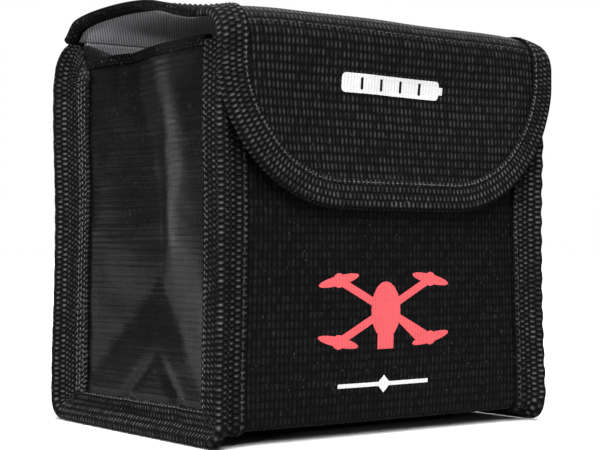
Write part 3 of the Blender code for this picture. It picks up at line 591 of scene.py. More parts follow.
def calc(tree, operation, *values):
    node = tree.nodes.new("ShaderNodeMath")
    node.operation = operation
    for value, socket in zip(values, node.inputs):
        link(tree, value, socket)
    return node.outputs[0]


def vector_calc(tree, operation, *values):
    node = tree.nodes.new("ShaderNodeVectorMath")
    node.operation = operation
    for value, socket in zip(values, node.inputs):
        link(tree, value, socket)
    return node.outputs[0]


def split_vector(tree, vector):
    node = tree.nodes.new("ShaderNodeSeparateXYZ")
    link(tree, vector, node.inputs[0])
    return node.outputs[0], node.outputs[1]


def join_vector(tree, x, y):
    node = tree.nodes.new("ShaderNodeCombineXYZ")
    link(tree, x, node.inputs[0])
    link(tree, y, node.inputs[1])
    return node.outputs[0]


def noise_value(tree, vector, scale, detail=2.0):
    node = tree.nodes.new("ShaderNodeTexNoise")
    link(tree, vector, node.inputs["Vector"])
    node.inputs["Scale"].default_value = scale
    node.inputs["Detail"].default_value = detail
    return node.outputs["Fac"], node.outputs["Color"]


def arches(tree, value):
    """A half sine wave over each whole step of a value."""
    return calc(tree, "SINE", calc(tree, "MULTIPLY", calc(tree, "FRACT", value), math.pi))


def tinted(colour, share):
    """A colour made darker or lighter by that share, with its alpha."""
    return (*(min(share * c, 1.0) for c in colour), 1)


def mix_colour(tree, factor, a, b):
    node = tree.nodes.new("ShaderNodeMix")
    node.data_type = "RGBA"
    link(tree, factor, node.inputs[0])
    link(tree, a, node.inputs[6])
    link(tree, b, node.inputs[7])
    return node.outputs[2]


def new_group(name, inputs, outputs):
    """A shader node group with these inputs, as (name, type, default), and outputs, as (name, type)."""
    group = bpy.data.node_groups.new(name, "ShaderNodeTree")
    for label, kind, default in inputs:
        socket = group.interface.new_socket(label, in_out="INPUT", socket_type=kind)
        if default is not None:
            socket.default_value = default
    for label, kind in outputs:
        group.interface.new_socket(label, in_out="OUTPUT", socket_type=kind)
    return group, group.nodes.new("NodeGroupInput").outputs, group.nodes.new("NodeGroupOutput").inputs


def woven_group():
    """Threads that pass over and under: short raised floats in rows, each row shifted by the stagger.

    Tone is a random value for each float, and Streak runs in fine lines along the rows."""
    group, given, result = new_group(
        "woven_floats",
        [
            ("Pattern", VECTOR, None),
            ("Float Pitch", NUMBER, 0.0013),
            ("Row Pitch", NUMBER, 0.005),
            ("Stagger", NUMBER, 0.0),
            ("Unevenness", NUMBER, 0.0004),
        ],
        [("Height", NUMBER), ("Crown", NUMBER), ("Tone", NUMBER), ("Streak", NUMBER)],
    )
    _, swirl = noise_value(group, given["Pattern"], 60.0)
    centred = vector_calc(group, "SUBTRACT", swirl, (0.5, 0.5, 0.5))
    drift = group.nodes.new("ShaderNodeVectorMath")
    drift.operation = "SCALE"
    link(group, centred, drift.inputs[0])
    link(group, given["Unevenness"], drift.inputs["Scale"])
    place = vector_calc(group, "ADD", given["Pattern"], drift.outputs[0])
    x, y = split_vector(group, place)
    v = calc(group, "DIVIDE", y, given["Row Pitch"])
    row = calc(group, "FLOOR", v)
    shift = calc(group, "MULTIPLY", row, given["Stagger"])
    u = calc(group, "ADD", calc(group, "DIVIDE", x, given["Float Pitch"]), shift)
    across, along = calc(group, "POWER", arches(group, u), 1.3), calc(group, "POWER", arches(group, v), 0.45)
    plump = calc(group, "MULTIPLY", across, along)
    white = group.nodes.new("ShaderNodeTexWhiteNoise")
    white.noise_dimensions = "2D"
    link(group, join_vector(group, calc(group, "FLOOR", u), row), white.inputs["Vector"])
    link(group, plump, result["Height"])
    link(group, calc(group, "POWER", plump, 2.2), result["Crown"])
    link(group, white.outputs["Value"], result["Tone"])
    drawn_out = join_vector(group, calc(group, "MULTIPLY", x, 0.25), calc(group, "MULTIPLY", y, 9.0))
    streak, _ = noise_value(group, drawn_out, 75.0)
    link(group, streak, result["Streak"])
    return group


def net_group():
    """A fine net of threads crossing on the slant."""
    group, given, result = new_group(
        "slanted_net",
        [("Pattern", VECTOR, None), ("Pitch", NUMBER, 0.0011), ("Slant", NUMBER, 0.62)],
        [("Threads", NUMBER)],
    )
    x, y = split_vector(group, given["Pattern"])
    lines = []
    for sign in (1.0, -1.0):
        slanted = calc(group, "MULTIPLY_ADD", calc(group, "MULTIPLY", y, given["Slant"]), sign, x)
        turns = calc(group, "DIVIDE", slanted, given["Pitch"])
        wave = calc(group, "SINE", calc(group, "MULTIPLY", turns, math.pi))
        lines.append(calc(group, "POWER", calc(group, "ABSOLUTE", wave), 6.0))
    link(group, calc(group, "MAXIMUM", *lines), result["Threads"])
    return group


def handling_group():
    """Marks of handling: broad uneven tone, fine lint and small scuffs."""
    group, given, result = new_group(
        "handling",
        [("Place", VECTOR, None), ("Lint", NUMBER, 0.5)],
        [("Tone", NUMBER), ("Lint Mask", NUMBER), ("Scuff", NUMBER)],
    )
    broad, _ = noise_value(group, given["Place"], 38.0, 4.0)
    fine, _ = noise_value(group, given["Place"], 900.0, 2.0)
    scuff, _ = noise_value(group, given["Place"], 140.0, 6.0)
    link(group, calc(group, "MULTIPLY_ADD", broad, 0.7, 0.65), result["Tone"])
    specks = calc(group, "MULTIPLY", calc(group, "SUBTRACT", fine, 0.66), 9.0)
    node = group.nodes.new("ShaderNodeClamp")
    link(group, calc(group, "MULTIPLY", specks, given["Lint"]), node.inputs[0])
    link(group, node.outputs[0], result["Lint Mask"])
    link(group, scuff, result["Scuff"])
    return group


GROUPS = {"woven": woven_group(), "net": net_group(), "handling": handling_group()}


def start_material(name):
    made = bpy.data.materials.new(name)
    made.use_nodes = True
    tree = made.node_tree
    return made, tree, tree.nodes["Principled BSDF"]


def place_group(tree, key, **values):
    node = tree.nodes.new("ShaderNodeGroup")
    node.node_tree = GROUPS[key]
    for label, value in values.items():
        link(tree, value, node.inputs[label.replace("_", " ").title()])
    return node.outputs


def weave_uv(tree):
    node = tree.nodes.new("ShaderNodeUVMap")
    node.uv_map = "weave"
    return node.outputs[0]


def rest_place(tree):
    """The surface's own coordinates, which stay with it when it moves."""
    return tree.nodes.new("ShaderNodeTexCoord").outputs["Object"]


def bump(tree, shader, height, distance):
    node = tree.nodes.new("ShaderNodeBump")
    node.inputs["Strength"].default_value = 1.0
    node.inputs["Distance"].default_value = distance
    link(tree, height, node.inputs["Height"])
    link(tree, node.outputs[0], shader.inputs["Normal"])


LINT = (0.07, 0.07, 0.074, 1)


def woven_material(
    name, dark, light, pitches, roughness, relief, gloss,
    contrast=1.0, lint=0.5, streaks=0.0, unevenness=0.0004, ribs=0.0,
):
    """Woven cloth. pitches are the float pitch, the row pitch and the stagger of each row.

    Streaks are lines of lighter and darker colour, and ribs are raised ones."""
    made, tree, shader = start_material(name)
    weave = place_group(
        tree, "woven", pattern=weave_uv(tree), float_pitch=pitches[0], row_pitch=pitches[1],
        stagger=pitches[2], unevenness=unevenness,
    )
    handling = place_group(tree, "handling", place=rest_place(tree), lint=lint)
    # The floats' crowns are painted lighter than the hollows between them, a painted sheen on the crowns and
    # painted shade between them, varied by each float's random tone, the broad handling tone and the streaks.
    crown = calc(tree, "POWER", weave["Crown"], contrast)
    painted_sheen = calc(tree, "MULTIPLY", crown, calc(tree, "MULTIPLY_ADD", weave["Tone"], 1.1, 0.25))
    streaked = calc(tree, "MULTIPLY_ADD", calc(tree, "SUBTRACT", weave["Streak"], 0.5), 4.0 * streaks, 1.0)
    sheen_and_tone = calc(tree, "MULTIPLY", calc(tree, "MULTIPLY", painted_sheen, handling["Tone"]), streaked)
    colour = mix_colour(tree, sheen_and_tone, (*dark, 1), (*light, 1))
    link(tree, mix_colour(tree, handling["Lint Mask"], colour, LINT), shader.inputs["Base Color"])
    low, high = roughness
    worn = calc(tree, "MULTIPLY", weave["Crown"], handling["Tone"])
    link(tree, calc(tree, "MULTIPLY_ADD", worn, low - high, high), shader.inputs["Roughness"])
    shader.inputs["Specular IOR Level"].default_value = gloss
    height = calc(tree, "MULTIPLY_ADD", handling["Scuff"], 0.25, weave["Height"])
    if ribs:
        height = calc(tree, "MULTIPLY_ADD", weave["Streak"], ribs, height)
    bump(tree, shader, height, relief)
    return made


def lining_material():
    """Silver foil with a net of threads over it."""
    made, tree, shader = start_material("silver_lining")
    net = place_group(tree, "net", pattern=weave_uv(tree))
    handling = place_group(tree, "handling", place=rest_place(tree), lint=0.2)
    foil = mix_colour(tree, handling["Scuff"], (0.60, 0.60, 0.62, 1), (0.80, 0.80, 0.83, 1))
    link(tree, mix_colour(tree, net["Threads"], foil, (0.10, 0.10, 0.11, 1)), shader.inputs["Base Color"])
    shader.inputs["Metallic"].default_value = 0.30
    link(tree, calc(tree, "MULTIPLY_ADD", net["Threads"], 0.25, 0.42), shader.inputs["Roughness"])
    bump(tree, shader, calc(tree, "ADD", net["Threads"], handling["Scuff"]), 0.00012)
    return made


def thread_material(name, colour):
    """Sewing thread with its twist."""
    made, tree, shader = start_material(name)
    twist = tree.nodes.new("ShaderNodeTexWave")
    twist.wave_type = "BANDS"
    twist.bands_direction = "DIAGONAL"
    twist.inputs["Scale"].default_value = 900.0
    link(tree, rest_place(tree), twist.inputs["Vector"])
    base = mix_colour(tree, twist.outputs["Fac"], tinted(colour, 0.55), tinted(colour, 1.0))
    link(tree, base, shader.inputs["Base Color"])
    link(tree, calc(tree, "MULTIPLY_ADD", twist.outputs["Fac"], -0.12, 0.50), shader.inputs["Roughness"])
    bump(tree, shader, twist.outputs["Fac"], 0.00006)
    return made


def pile_material(name, scale, relief):
    """Hooks or loops: a dense short pile."""
    made, tree, shader = start_material(name)
    node = tree.nodes.new("ShaderNodeTexVoronoi")
    node.inputs["Scale"].default_value = scale
    link(tree, rest_place(tree), node.inputs["Vector"])
    colour = mix_colour(tree, node.outputs["Distance"], (0.030, 0.030, 0.032, 1), (0.006, 0.006, 0.007, 1))
    link(tree, colour, shader.inputs["Base Color"])
    link(tree, calc(tree, "MULTIPLY_ADD", node.outputs["Distance"], 0.2, 0.7), shader.inputs["Roughness"])
    bump(tree, shader, calc(tree, "SUBTRACT", 1.0, node.outputs["Distance"]), relief)
    return made


def print_material(name, colour):
    """Screen print: ink that sinks a little between the threads below it."""
    made, tree, shader = start_material(name)
    weave = place_group(tree, "woven", pattern=weave_uv(tree), float_pitch=0.0013, row_pitch=0.0033)
    handling = place_group(tree, "handling", place=rest_place(tree), lint=0.15)
    depth = calc(tree, "MULTIPLY_ADD", weave["Height"], 0.16, calc(tree, "MULTIPLY", handling["Scuff"], 0.10))
    worn = mix_colour(tree, depth, tinted(colour, 0.78), tinted(colour, 1.08))
    link(tree, worn, shader.inputs["Base Color"])
    link(tree, calc(tree, "MULTIPLY_ADD", handling["Scuff"], 0.25, 0.42), shader.inputs["Roughness"])
    bump(tree, shader, weave["Height"], 0.00008)
    return made


# One coated cloth in three copies whose colours are painted lighter or darker for how light falls on it: the
# flap and lid's copy is painted lighter, as painted light, and the body's and the gussets' copies are painted
# darker, as painted shade.
FINISH = {
    "flap_cloth_painted_lighter": woven_material(
        "coated_cloth_painted_lighter", dark=(0.0017, 0.0017, 0.0020), light=(0.044, 0.044, 0.0456),
        pitches=(0.00180, 0.0029, 0.12), roughness=(0.34, 0.58), relief=0.00026, gloss=0.10, contrast=1.6,
    ),
    "body_cloth_painted_darker": woven_material(
        "coated_cloth_painted_darker", dark=(0.0014, 0.0014, 0.0017), light=(0.0120, 0.0120, 0.0127),
        pitches=(0.00180, 0.0029, 0.0), roughness=(0.36, 0.60), relief=0.00018, gloss=0.09,
    ),
    "gusset_cloth_painted_darker": woven_material(
        "coated_cloth_gusset_painted_darker", dark=(0.0028, 0.0028, 0.0031), light=(0.0090, 0.0090, 0.0094),
        pitches=(0.0012, 0.0021, 0.0), roughness=(0.22, 0.31), relief=0.00004, gloss=0.31, ribs=3.0,
    ),
    "webbing": woven_material(
        "ribbed_webbing", dark=(0.0018, 0.0018, 0.0020), light=(0.084, 0.084, 0.087),
        pitches=(0.00193, 0.0025, 0.5), roughness=(0.50, 0.85), relief=0.00060, gloss=0.12,
        contrast=2.1, lint=0.9, streaks=1.1, unevenness=0.0006,
    ),
    "edging": woven_material(
        "smooth_edging", dark=(0.0012, 0.0012, 0.0014), light=(0.011, 0.011, 0.0114),
        pitches=(0.00193, 0.0012, 0.5), roughness=(0.7, 0.95), relief=0.00018, gloss=0.06, lint=1.4,
    ),
    "lining": lining_material(),
    "thread": thread_material("black_sewing_thread", (0.030, 0.030, 0.032)),
    # A lighter copy of the black sewing thread: its lighter colour is a painted glint.
    "thread_painted_glint": thread_material("sewing_thread_painted_glint", (0.12, 0.12, 0.125)),
    "hooks": pile_material("hook_pile", 1500.0, 0.0005),
    "loops": pile_material("loop_pile", 900.0, 0.0006),
    "red": print_material("red_ink", (0.93, 0.12, 0.135)),
    "white": print_material("white_ink", (0.92, 0.92, 0.92)),
}


# ---------------------------------------------------------------- the body's pieces


def make_body_cloth():
    """The strip that makes the front, the bottom and the back, and its lining."""
    edge = SIDE + FLANGE_RUN
    columns = [-edge] + spaced(-SIDE, SIDE, 0.002) + [edge]
    start = front_share(MOUTH_TOP)
    rows = [r for r in path_rows() if r[0] != "front" or r[1] > start]
    rows.insert(0, ("front", start, start * STRETCHES["front"]))

    def place(x, row):
        stretch, t, _ = row
        if abs(x) > SIDE:
            run = flange_run(stretch, t)
            y, z = path_point(stretch, t, run)
            return settle((math.copysign(SIDE + run, x), y, z))
        return strip_point(x, stretch, t)

    strip = surface(
        "outer_strip", columns, rows, place, lambda x, row: (x, row[2]), FINISH["body_cloth_painted_darker"],
        SHELL,
    )
    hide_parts("front_panel", "bottom_panel", "back_panel")
    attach(strip, "bag")

    inner = spaced(CLOTH_INSET - SIDE, SIDE - CLOTH_INSET, 0.002)
    lining = surface(
        "strip_lining", inner, rows, lambda x, row: strip_point(x, row[0], row[1], -LINING_UNDER),
        lambda x, row: (x, row[2]), FINISH["lining"], LINING,
    )
    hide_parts("lining_strip")
    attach(lining, "bag")


HEM_SHORT_OF_TAPE, HEM_SHORT_OF_BACK = 0.001, 0.0105


def make_gusset(side):
    """A gusset's cloth and lining, and the hem on its upper edge."""
    hand = "left" if side < 0 else "right"
    columns = spaced(0.0, 1.0, 0.0016 / (BACK - FRONT))
    rows = spaced(BOTTOM + CLOTH_INSET, GUSSET_TOP, 0.0016)

    def spot(a, z):
        front, back = body_edges(z, -CLOTH_INSET)
        return lerp(front, back, a), z

    def cloth_place(a, z):
        return gusset_point(*spot(a, z), side)

    def lining_place(a, z):
        return gusset_point(*spot(a, z), side, -LINING_UNDER)

    cloth = surface(
        f"gusset_cloth_painted_darker_{hand}", columns, rows, cloth_place, spot, FINISH["gusset_cloth_painted_darker"],
        SHELL, flip=side > 0,
    )
    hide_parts(f"gusset_{hand}")
    lining = surface(
        f"gusset_silver_{hand}", columns, rows, lining_place, spot, FINISH["lining"],
        LINING, flip=side > 0,
    )
    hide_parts(f"gusset_lining_{hand}")
    for piece in (cloth, lining):
        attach(piece, "bag")

    section = fold_section(TAPE_OVER, TAPE_UNDER, HEM_HEIGHT, HEM_HEIGHT)
    start, end = FRONT + TAPE_IN_FRONT - HEM_SHORT_OF_TAPE, body_edges(GUSSET_TOP, 0)[1] - HEM_SHORT_OF_BACK

    def hem_place(point, y):
        below, out, _ = point
        return gusset_point(y, GUSSET_TOP + HEM_ABOVE - below, side, out)

    hem = surface(
        f"mouth_tape_{hand}", section, spaced(start, end, 0.0015), hem_place,
        lambda point, y: (y, point[2]), FINISH["edging"], TAPE, flip=side < 0,
    )
    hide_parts(f"gusset_hem_{hand}")
    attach(hem, "bag")


def gusset_tape_edge(stretch, t):
    """(y, z) of the tape's inner edge on a gusset, which is wider behind than in front and below."""
    if stretch == "bend":
        return path_point("bend", t, -TAPE_BEHIND)
    inner = FRONT + TAPE_IN_FRONT, BACK - TAPE_BEHIND, BOTTOM + TAPE_BELOW
    return round_box(stretch, t, *inner, TAPE_EDGE_RADIUS)


def gusset_tape_point(stretch, t, share, side, out):
    """A point over the gusset's tape, a share of the way from its fold to its inner edge."""
    fold = Vector(path_point(stretch, t, TAPE_OVER - OFFSET * math.sqrt(2)))
    y, z = fold.lerp(Vector(gusset_tape_edge(stretch, t)), share)
    return gusset_point(y, z, side, out)


def make_seam_tape(side):
    """The tape folded over a side seam, round the whole body, and its rows of stitches."""
    hand = "left" if side < 0 else "right"
    widths = {"front": TAPE_IN_FRONT, "front_corner": TAPE_IN_FRONT, "bottom": TAPE_BELOW}

    def place(point, row):
        beyond, out, turned, share, _ = point
        stretch, t, along = row
        if share:
            return gusset_tape_point(stretch, t, share, side, TAPE_OVER)
        run = flange_run(stretch, t) * turned
        y, z = path_point(stretch, t, out + run)
        pucker = PUCKER * turned * math.sin(2 * math.pi * along / PUCKER_EVERY)
        return settle((side * (SIDE + beyond + run + pucker), y - pucker, z))

    def pattern(point, row):
        return row[2], point[4] + point[3] * widths.get(row[0], TAPE_BEHIND)

    rows = path_rows(0.0018)
    tape = surface(
        f"seam_tape_{hand}", seam_section(), rows, place, pattern, FINISH["webbing"], TAPE,
        flip=side < 0,
    )
    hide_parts(*(f"seam_binding_{where}_{hand}" for where in ("front", "bottom", "back")))
    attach(tape, "bag")
    over = TAPE_OVER + TAPE / 2

    def on_strip(row, out):
        y, z = path_point(row[0], row[1], out)
        return settle((side * (SIDE - TAPE_ON_STRIP + STITCHES_INSET), y, z))

    line = stitches(f"seam_stitches_{hand}", route_along(on_strip, rows, over), FINISH["thread"])
    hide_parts(f"seam_thread_{hand}")
    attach(line, "bag")
    behind = [row for row in rows if row[0] in ("back", "bend")]
    short, long = (0.0012, 0.0009, 0.00020), (0.0015, 0.0007, 0.00022)
    # These rows are sewn in the black thread's lighter copy, whose colour is a painted glint.
    for name, share, stations, (length, gap, radius) in (
        ("gusset_stitches", 0.87, rows, short),
        ("gusset_back_stitches_0", 0.60, behind, long),
        ("gusset_back_stitches_1", 0.73, behind, long),
    ):
        def on_gusset(row, out, share=share):
            return gusset_tape_point(*row[:2], share, side, out)

        route = route_along(on_gusset, stations, over)
        line = stitches(f"{name}_{hand}", route, FINISH["thread_painted_glint"], length, gap, radius)
        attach(line, "bag")


def make_mouth_tape():
    """The tape over the front panel's upper edge, behind the flap."""
    section = fold_section(TAPE_OVER, TAPE_UNDER, HEM_HEIGHT, HEM_HEIGHT)
    reach = SIDE - TAPE_ON_STRIP + 0.001

    def place(point, x):
        below, out, _ = point
        return front_point(x, MOUTH_TOP + HEM_ABOVE - below, out)

    hem = surface(
        "mouth_tape_front", section, spaced(-reach, reach, 0.0016), place, lambda point, x: (x, point[2]),
        FINISH["webbing"], TAPE,
    )
    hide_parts("mouth_hem")
    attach(hem, "bag")


def make_loops():
    """The loop strip on the front."""
    low, high = LOOPS

    def place(x, z):
        return front_point(x, z, SHELL / 2 + STRIP_LIFT)

    strip = surface(
        "loop_tape", spaced(low.x, high.x, 0.002), spaced(low.z, high.z, 0.002), place, lambda x, z: (x, z),
        FINISH["loops"], STRIP_THICKNESS,
    )
    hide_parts("loop_strip")
    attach(strip, "bag")


# ---------------------------------------------------------------- the lid's and the flap's pieces


def bend_over_fold(piece, fold, near=0.007):
    """Bakes a piece of the cover's placing into its mesh. It does not bend the piece: the points it works out
    from the fold and near go unused.
    """
    if fold == "lid":
        behind, ahead = cover_at(0.0), cover_at(0.012)
        along = (ahead - behind).normalized()
        middle, bodies = Vector((LID_HINGE.y, LID_HINGE.z)), ("bag", "lid")
        start, end = middle, middle + along * near
    else:
        along = Vector((-math.sin(math.radians(45)), -math.cos(math.radians(45))))
        middle, bodies = Vector((FLAP_HINGE.y, FLAP_HINGE.z)), ("lid", "flap")
        start, end = middle - along * near, middle + along * near
    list(start)
    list(end)
    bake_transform(piece)


def make_lid():
    """The lid's cloth and lining, and the tape and stitches on its two sides."""
    edge = LID_HALF_WIDTH - CLOTH_INSET
    columns = spaced(-edge, edge, 0.002)
    rows = spaced(0.0, SPLIT, 0.0015)

    def pattern(x, s):
        return x, -s

    for name, out, thickness, finish, slot, node in (
        ("lid_cloth", 0.0, SHELL, "flap_cloth_painted_lighter", "coated_black_cloth", "lid_shell"),
        ("lid_silver", -LINING_UNDER, LINING, "lining", "silver_glass_cloth", "lid_lining"),
    ):
        def layer(x, s, out=out):
            return cover_point(x, s, out)

        piece = surface(name, columns, rows, layer, pattern, FINISH[finish], thickness)
        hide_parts(node)
        bend_over_fold(piece, "lid")
    section = fold_section(TAPE_OVER, TAPE_UNDER, EDGE_TAPE, EDGE_TAPE_UNDER_LID)
    for side, hand in ((-1, "left"), (1, "right")):
        def place(point, s, side=side):
            return cover_point(side * (LID_HALF_WIDTH - point[0]), s, point[1])

        tape = surface(
            f"lid_tape_{hand}", section, rows, place, lambda point, s: (s, point[2]), FINISH["edging"],
            TAPE, flip=side > 0,
        )
        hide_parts(f"lid_binding_{hand}")
        bend_over_fold(tape, "lid")

        def on_tape(s, out, side=side):
            return cover_point(side * (LID_HALF_WIDTH - EDGE_TAPE + STITCHES_INSET), s, out)

        route = route_along(on_tape, rows, TAPE_OVER + TAPE / 2)
        line = stitches(f"lid_stitches_{hand}", route, FINISH["thread"])
        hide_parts(f"lid_thread_{hand}")
        bend_over_fold(line, "lid")


FLAP_CORNER = FLAP_END - FLAP_CORNER_RADIUS
FLAP_MIDDLE = LID_HALF_WIDTH - FLAP_CORNER_RADIUS


def flap_edge(step=0.0016):
    """(part, share, length) for each station of the flap's edge, from the left of the roll to the right."""
    side, corner = FLAP_CORNER - SPLIT, FLAP_CORNER_RADIUS * math.pi / 2
    names = ("left", "left_corner", "bottom", "right_corner", "right")
    rows, done = [], 0.0
    for part, length in zip(names, (side, corner, 2 * FLAP_MIDDLE, corner, side)):
        count = round(length / step)
        rows += [(part, i / count, done + length * i / count) for i in range(count)]
        done += length
    return rows + [("right", 1.0, done)]


def flap_outline(row, inset):
    """(x, length along the cover) at a station of the flap's edge, that far in from the edge."""
    part, t, _ = row
    radius = FLAP_CORNER_RADIUS - inset
    if part == "left":
        return inset - LID_HALF_WIDTH, lerp(SPLIT, FLAP_CORNER, t)
    if part == "right":
        return LID_HALF_WIDTH - inset, lerp(FLAP_CORNER, SPLIT, t)
    if part == "bottom":
        return lerp(-FLAP_MIDDLE, FLAP_MIDDLE, t), FLAP_END - inset
    turn = (t if part == "left_corner" else 1 - t) * math.pi / 2
    side = -1 if part == "left_corner" else 1
    return side * (FLAP_MIDDLE + radius * math.cos(turn)), FLAP_CORNER + radius * math.sin(turn)


FLAP_STITCHES_INSET = 0.0014
FOLD_STITCHES_ABOVE = 0.0045  # from the roll's lower end up to its row of stitches


def make_flap():
    """The flap's cloth and lining, the tape round its edge, and its stitches."""
    radius = FLAP_CORNER_RADIUS - CLOTH_INSET
    turns = spaced(0.0, math.pi / 2, 0.045)
    rows = spaced(SPLIT, FLAP_CORNER, 0.0015)[:-1] + [FLAP_CORNER + radius * math.sin(a) for a in turns]
    columns = spaced(-1.0, 1.0, 0.002 / LID_HALF_WIDTH)

    def spot(a, s):
        below = max(s - FLAP_CORNER, 0.0)
        return a * (FLAP_MIDDLE + math.sqrt(max(radius**2 - below**2, 0.0))), s

    def pattern(a, s):
        x, _ = spot(a, s)
        return x, -s

    for name, out, thickness, finish, slot, node in (
        ("flap_cloth_painted_lighter", 0.0, SHELL, "flap_cloth_painted_lighter", "coated_black_cloth", "flap_shell"),
        ("flap_silver", -LINING_UNDER, LINING, "lining", "silver_glass_cloth", "flap_lining"),
    ):
        def layer(a, s, out=out):
            return cover_point(*spot(a, s), out)

        piece = surface(name, columns, rows, layer, pattern, FINISH[finish], thickness)
        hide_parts(node)
        bend_over_fold(piece, "flap")

    edge = flap_edge()
    section = fold_section(TAPE_OVER, TAPE_UNDER, EDGE_TAPE, EDGE_TAPE)

    def place(point, row):
        return cover_point(*flap_outline(row, point[0]), point[1])

    tape = surface(
        "flap_tape", section, edge, place, lambda point, row: (row[2], point[2]), FINISH["webbing"],
        TAPE,
    )
    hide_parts("flap_binding")
    bend_over_fold(tape, "flap")

    def on_tape(row, out):
        return cover_point(*flap_outline(row, EDGE_TAPE - FLAP_STITCHES_INSET), out)

    # The flap's stitches are in the black thread's lighter copy, whose colour is a painted glint.
    line = stitches(
        "flap_stitches",
        route_along(on_tape, edge, TAPE_OVER + TAPE / 2),
        FINISH["thread_painted_glint"], length=0.0012, gap=0.0009, radius=0.00018,
    )
    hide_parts("flap_thread")
    bend_over_fold(line, "flap")
    reach = LID_HALF_WIDTH - EDGE_TAPE
    fold_row = ROLL_END - FOLD_STITCHES_ABOVE
    line = stitches(
        "roll_stitches",
        route_along(lambda x, out: cover_point(x, fold_row, out), spaced(-reach, reach, 0.002), SHELL / 2),
        FINISH["thread"],
    )
    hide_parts("fold_thread")
    bend_over_fold(line, "flap")


def flap_length(z):
    """The cover's length at a height of the flap's upright part."""
    return ROLL_END + (LID_FRONT_HEIGHT - ROLL_RADIUS - z)


def make_hooks():
    """The hook strip under the flap's lining."""
    low, high = HOOKS
    under = LINING_UNDER + LINING / 2 + STRIP_LIFT

    def place(x, z):
        return cover_point(x, flap_length(z), -under)

    strip = surface(
        "hook_tape", spaced(low.x, high.x, 0.002), spaced(low.z, high.z, 0.002), place, lambda x, z: (x, z),
        FINISH["hooks"], STRIP_THICKNESS,
    )
    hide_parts("hook_strip")
    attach(strip, "flap")


# ---------------------------------------------------------------- prints


def drape_print(node, name, finish, body, place):
    """Lays a print's outline on the cloth: place(x, z, out) gives the cloth's surface."""
    bm = bmesh.new()
    bm.from_mesh(frame["nodes"][node].data)
    bmesh.ops.remove_doubles(bm, verts=bm.verts, dist=1e-6)
    front = min(v.co.y for v in bm.verts)
    back_faces = [f for f in bm.faces if any(v.co.y > front + 1e-4 for v in f.verts)]
    bmesh.ops.delete(bm, geom=back_faces, context="FACES")
    for vert in bm.verts:
        vert.co.y = front
    shortest = 2e-5
    bmesh.ops.remove_doubles(bm, verts=bm.verts, dist=shortest)
    bmesh.ops.dissolve_degenerate(bm, edges=bm.edges, dist=shortest)
    bmesh.ops.dissolve_limit(bm, angle_limit=0.01, verts=bm.verts, edges=bm.edges)
    bmesh.ops.triangulate(bm, faces=bm.faces)
    for _ in range(4):  # halved until the ink can follow the cloth
        long_edges = [e for e in bm.edges if e.calc_length() > 0.0025]
        bmesh.ops.subdivide_edges(bm, edges=long_edges, cuts=1)
        bmesh.ops.triangulate(bm, faces=bm.faces)
    uv = bm.loops.layers.uv.new("weave")
    for face in bm.faces:
        for loop in face.loops:
            loop[uv].uv = (loop.vert.co.x, loop.vert.co.z)
    for vert in bm.verts:
        vert.co = place(vert.co.x, vert.co.z, SHELL / 2 + INK_LIFT)
    obj = make_object(name, bm)
    thicken(obj, "ink", INK_THICKNESS, even=False)
    shade(obj, finish)
    obj.data.shade_flat()
    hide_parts(node)
    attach(obj, body)


def make_prints():
    def on_flap(x, z, out):
        return cover_point(x, flap_length(z), out)

    drape_print("front_emblem", "aircraft_print", FINISH["red"], "bag", front_point)
    drape_print("front_line_mark", "rule_print", FINISH["white"], "bag", front_point)
    drape_print("flap_cell_mark", "battery_print", FINISH["white"], "flap", on_flap)


# ---------------------------------------------------------------- the studio


def seen_or_not(tree, seen, otherwise):
    """A grey that the camera sees, and another that everything else is lit and reflected by."""
    path = tree.nodes.new("ShaderNodeLightPath")
    return mix_colour(tree, path.outputs["Is Camera Ray"], (*[otherwise] * 3, 1), (*[seen] * 3, 1))


def make_floor():
    """A wide floor under the bag, which the camera sees as white."""
    bpy.ops.mesh.primitive_plane_add(size=30.0, location=(0, 0, cad_bounds[0].z - 0.0004))
    floor = bpy.context.object
    floor.name = "floor"
    made, tree, shader = start_material("pale_floor")
    link(tree, seen_or_not(tree, 0.92, 0.30), shader.inputs["Base Color"])
    shader.inputs["Roughness"].default_value = 0.9
    shader.inputs["Specular IOR Level"].default_value = 0.0
    floor.data.materials.append(made)


def make_room():
    """A dim room, which the camera sees as a plain white backdrop."""
    room = bpy.data.worlds.new("studio_room")
    room.use_nodes = True
    tree = room.node_tree
    link(tree, seen_or_not(tree, 1.0, 0.05), tree.nodes["Background"].inputs["Color"])
    bpy.context.scene.world = room


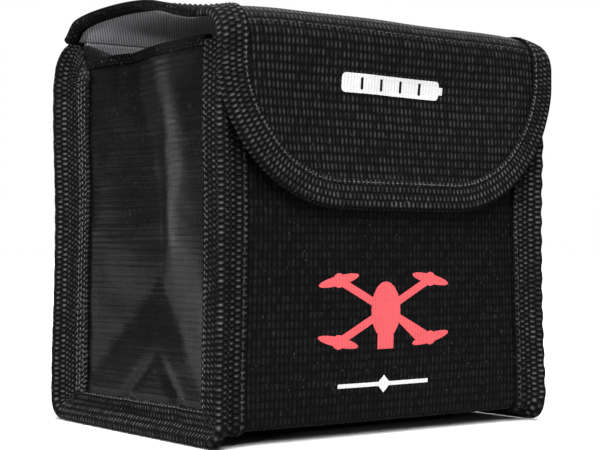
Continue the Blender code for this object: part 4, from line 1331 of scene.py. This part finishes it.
def lamp(name, kind, azimuth, elevation, distance, strength, aim=(0, 0, 0.07), **settings):
    """A light at an azimuth, from the front towards the bag's right, and an elevation, aimed at a place."""
    data = bpy.data.lights.new(name, kind)
    data.energy = strength
    for key, value in settings.items():
        setattr(data, key, value)
    turn, rise = math.radians(azimuth), math.radians(elevation)
    away = Vector((math.sin(turn) * math.cos(rise), -math.cos(turn) * math.cos(rise), math.sin(rise)))
    light = bpy.data.objects.new(name, data)
    light.location = Vector(aim) + distance * away
    light.rotation_euler = (-away).to_track_quat("-Z", "Y").to_euler()
    bpy.context.scene.collection.objects.link(light)


def make_studio():
    """Broad light from the front's left, from above and from behind, and small lights on the left side."""
    make_floor()
    make_room()
    lamp("key_light", "SUN", -36, 40, 2.0, 4.4, angle=math.radians(40))
    lamp("back_light", "SUN", 138, 22, 2.0, 1.3, angle=math.radians(55))
    lamp("overhead_light", "SUN", -20, 80, 2.0, 2.4, angle=math.radians(50))
    lamp("side_softbox", "AREA", -177, 2, 1.2, 1.45, shape="RECTANGLE", size=0.22, size_y=0.34)
    lamp("low_softbox", "AREA", -128, -6, 0.42, 0.012, shape="RECTANGLE", size=0.10, size_y=0.06)
    corner = (-SIDE, BACK - 0.018, GUSSET_TOP + 0.008)
    lamp("mouth_light", "SPOT", -70, -2, 0.8, 24.0, aim=corner, spot_size=math.radians(2.2), spot_blend=0.9)
    overhang = (-SIDE - 0.002, -0.024, GUSSET_TOP + 0.011)
    lamp("under_light", "SPOT", -90, -36, 0.2, 2.0, aim=overhang, spot_size=math.radians(13), spot_blend=0.9)
    lamp("low_fill", "AREA", -70, 3, 1.0, 2.9, shape="RECTANGLE", size=0.50, size_y=0.25)
    bpy.context.scene.view_settings.view_transform = "Standard"


CAMERA_PLACE = (-0.32526, -0.44636, 0.064)
CAMERA_TURN, CAMERA_TILT = math.radians(36.1), math.radians(0.98)
SENSOR_WIDTH, FOCAL_LENGTH = 36.0, 87.36  # in millimetres


def make_camera():
    """The camera stands to the left of the front, below half the bag's height, looking up a little."""
    data = bpy.data.cameras.new("camera")
    data.sensor_width, data.lens = SENSOR_WIDTH, FOCAL_LENGTH
    camera = bpy.data.objects.new("camera", data)
    camera.location = CAMERA_PLACE
    camera.rotation_euler = (math.pi / 2 + CAMERA_TILT, 0, -CAMERA_TURN)
    bpy.context.scene.collection.objects.link(camera)
    bpy.context.scene.camera = camera


make_body_cloth()
for side in (-1, 1):
    make_gusset(side)
    make_seam_tape(side)
make_mouth_tape()
make_loops()
make_lid()
make_flap()
make_hooks()
make_prints()
make_studio()
make_camera()
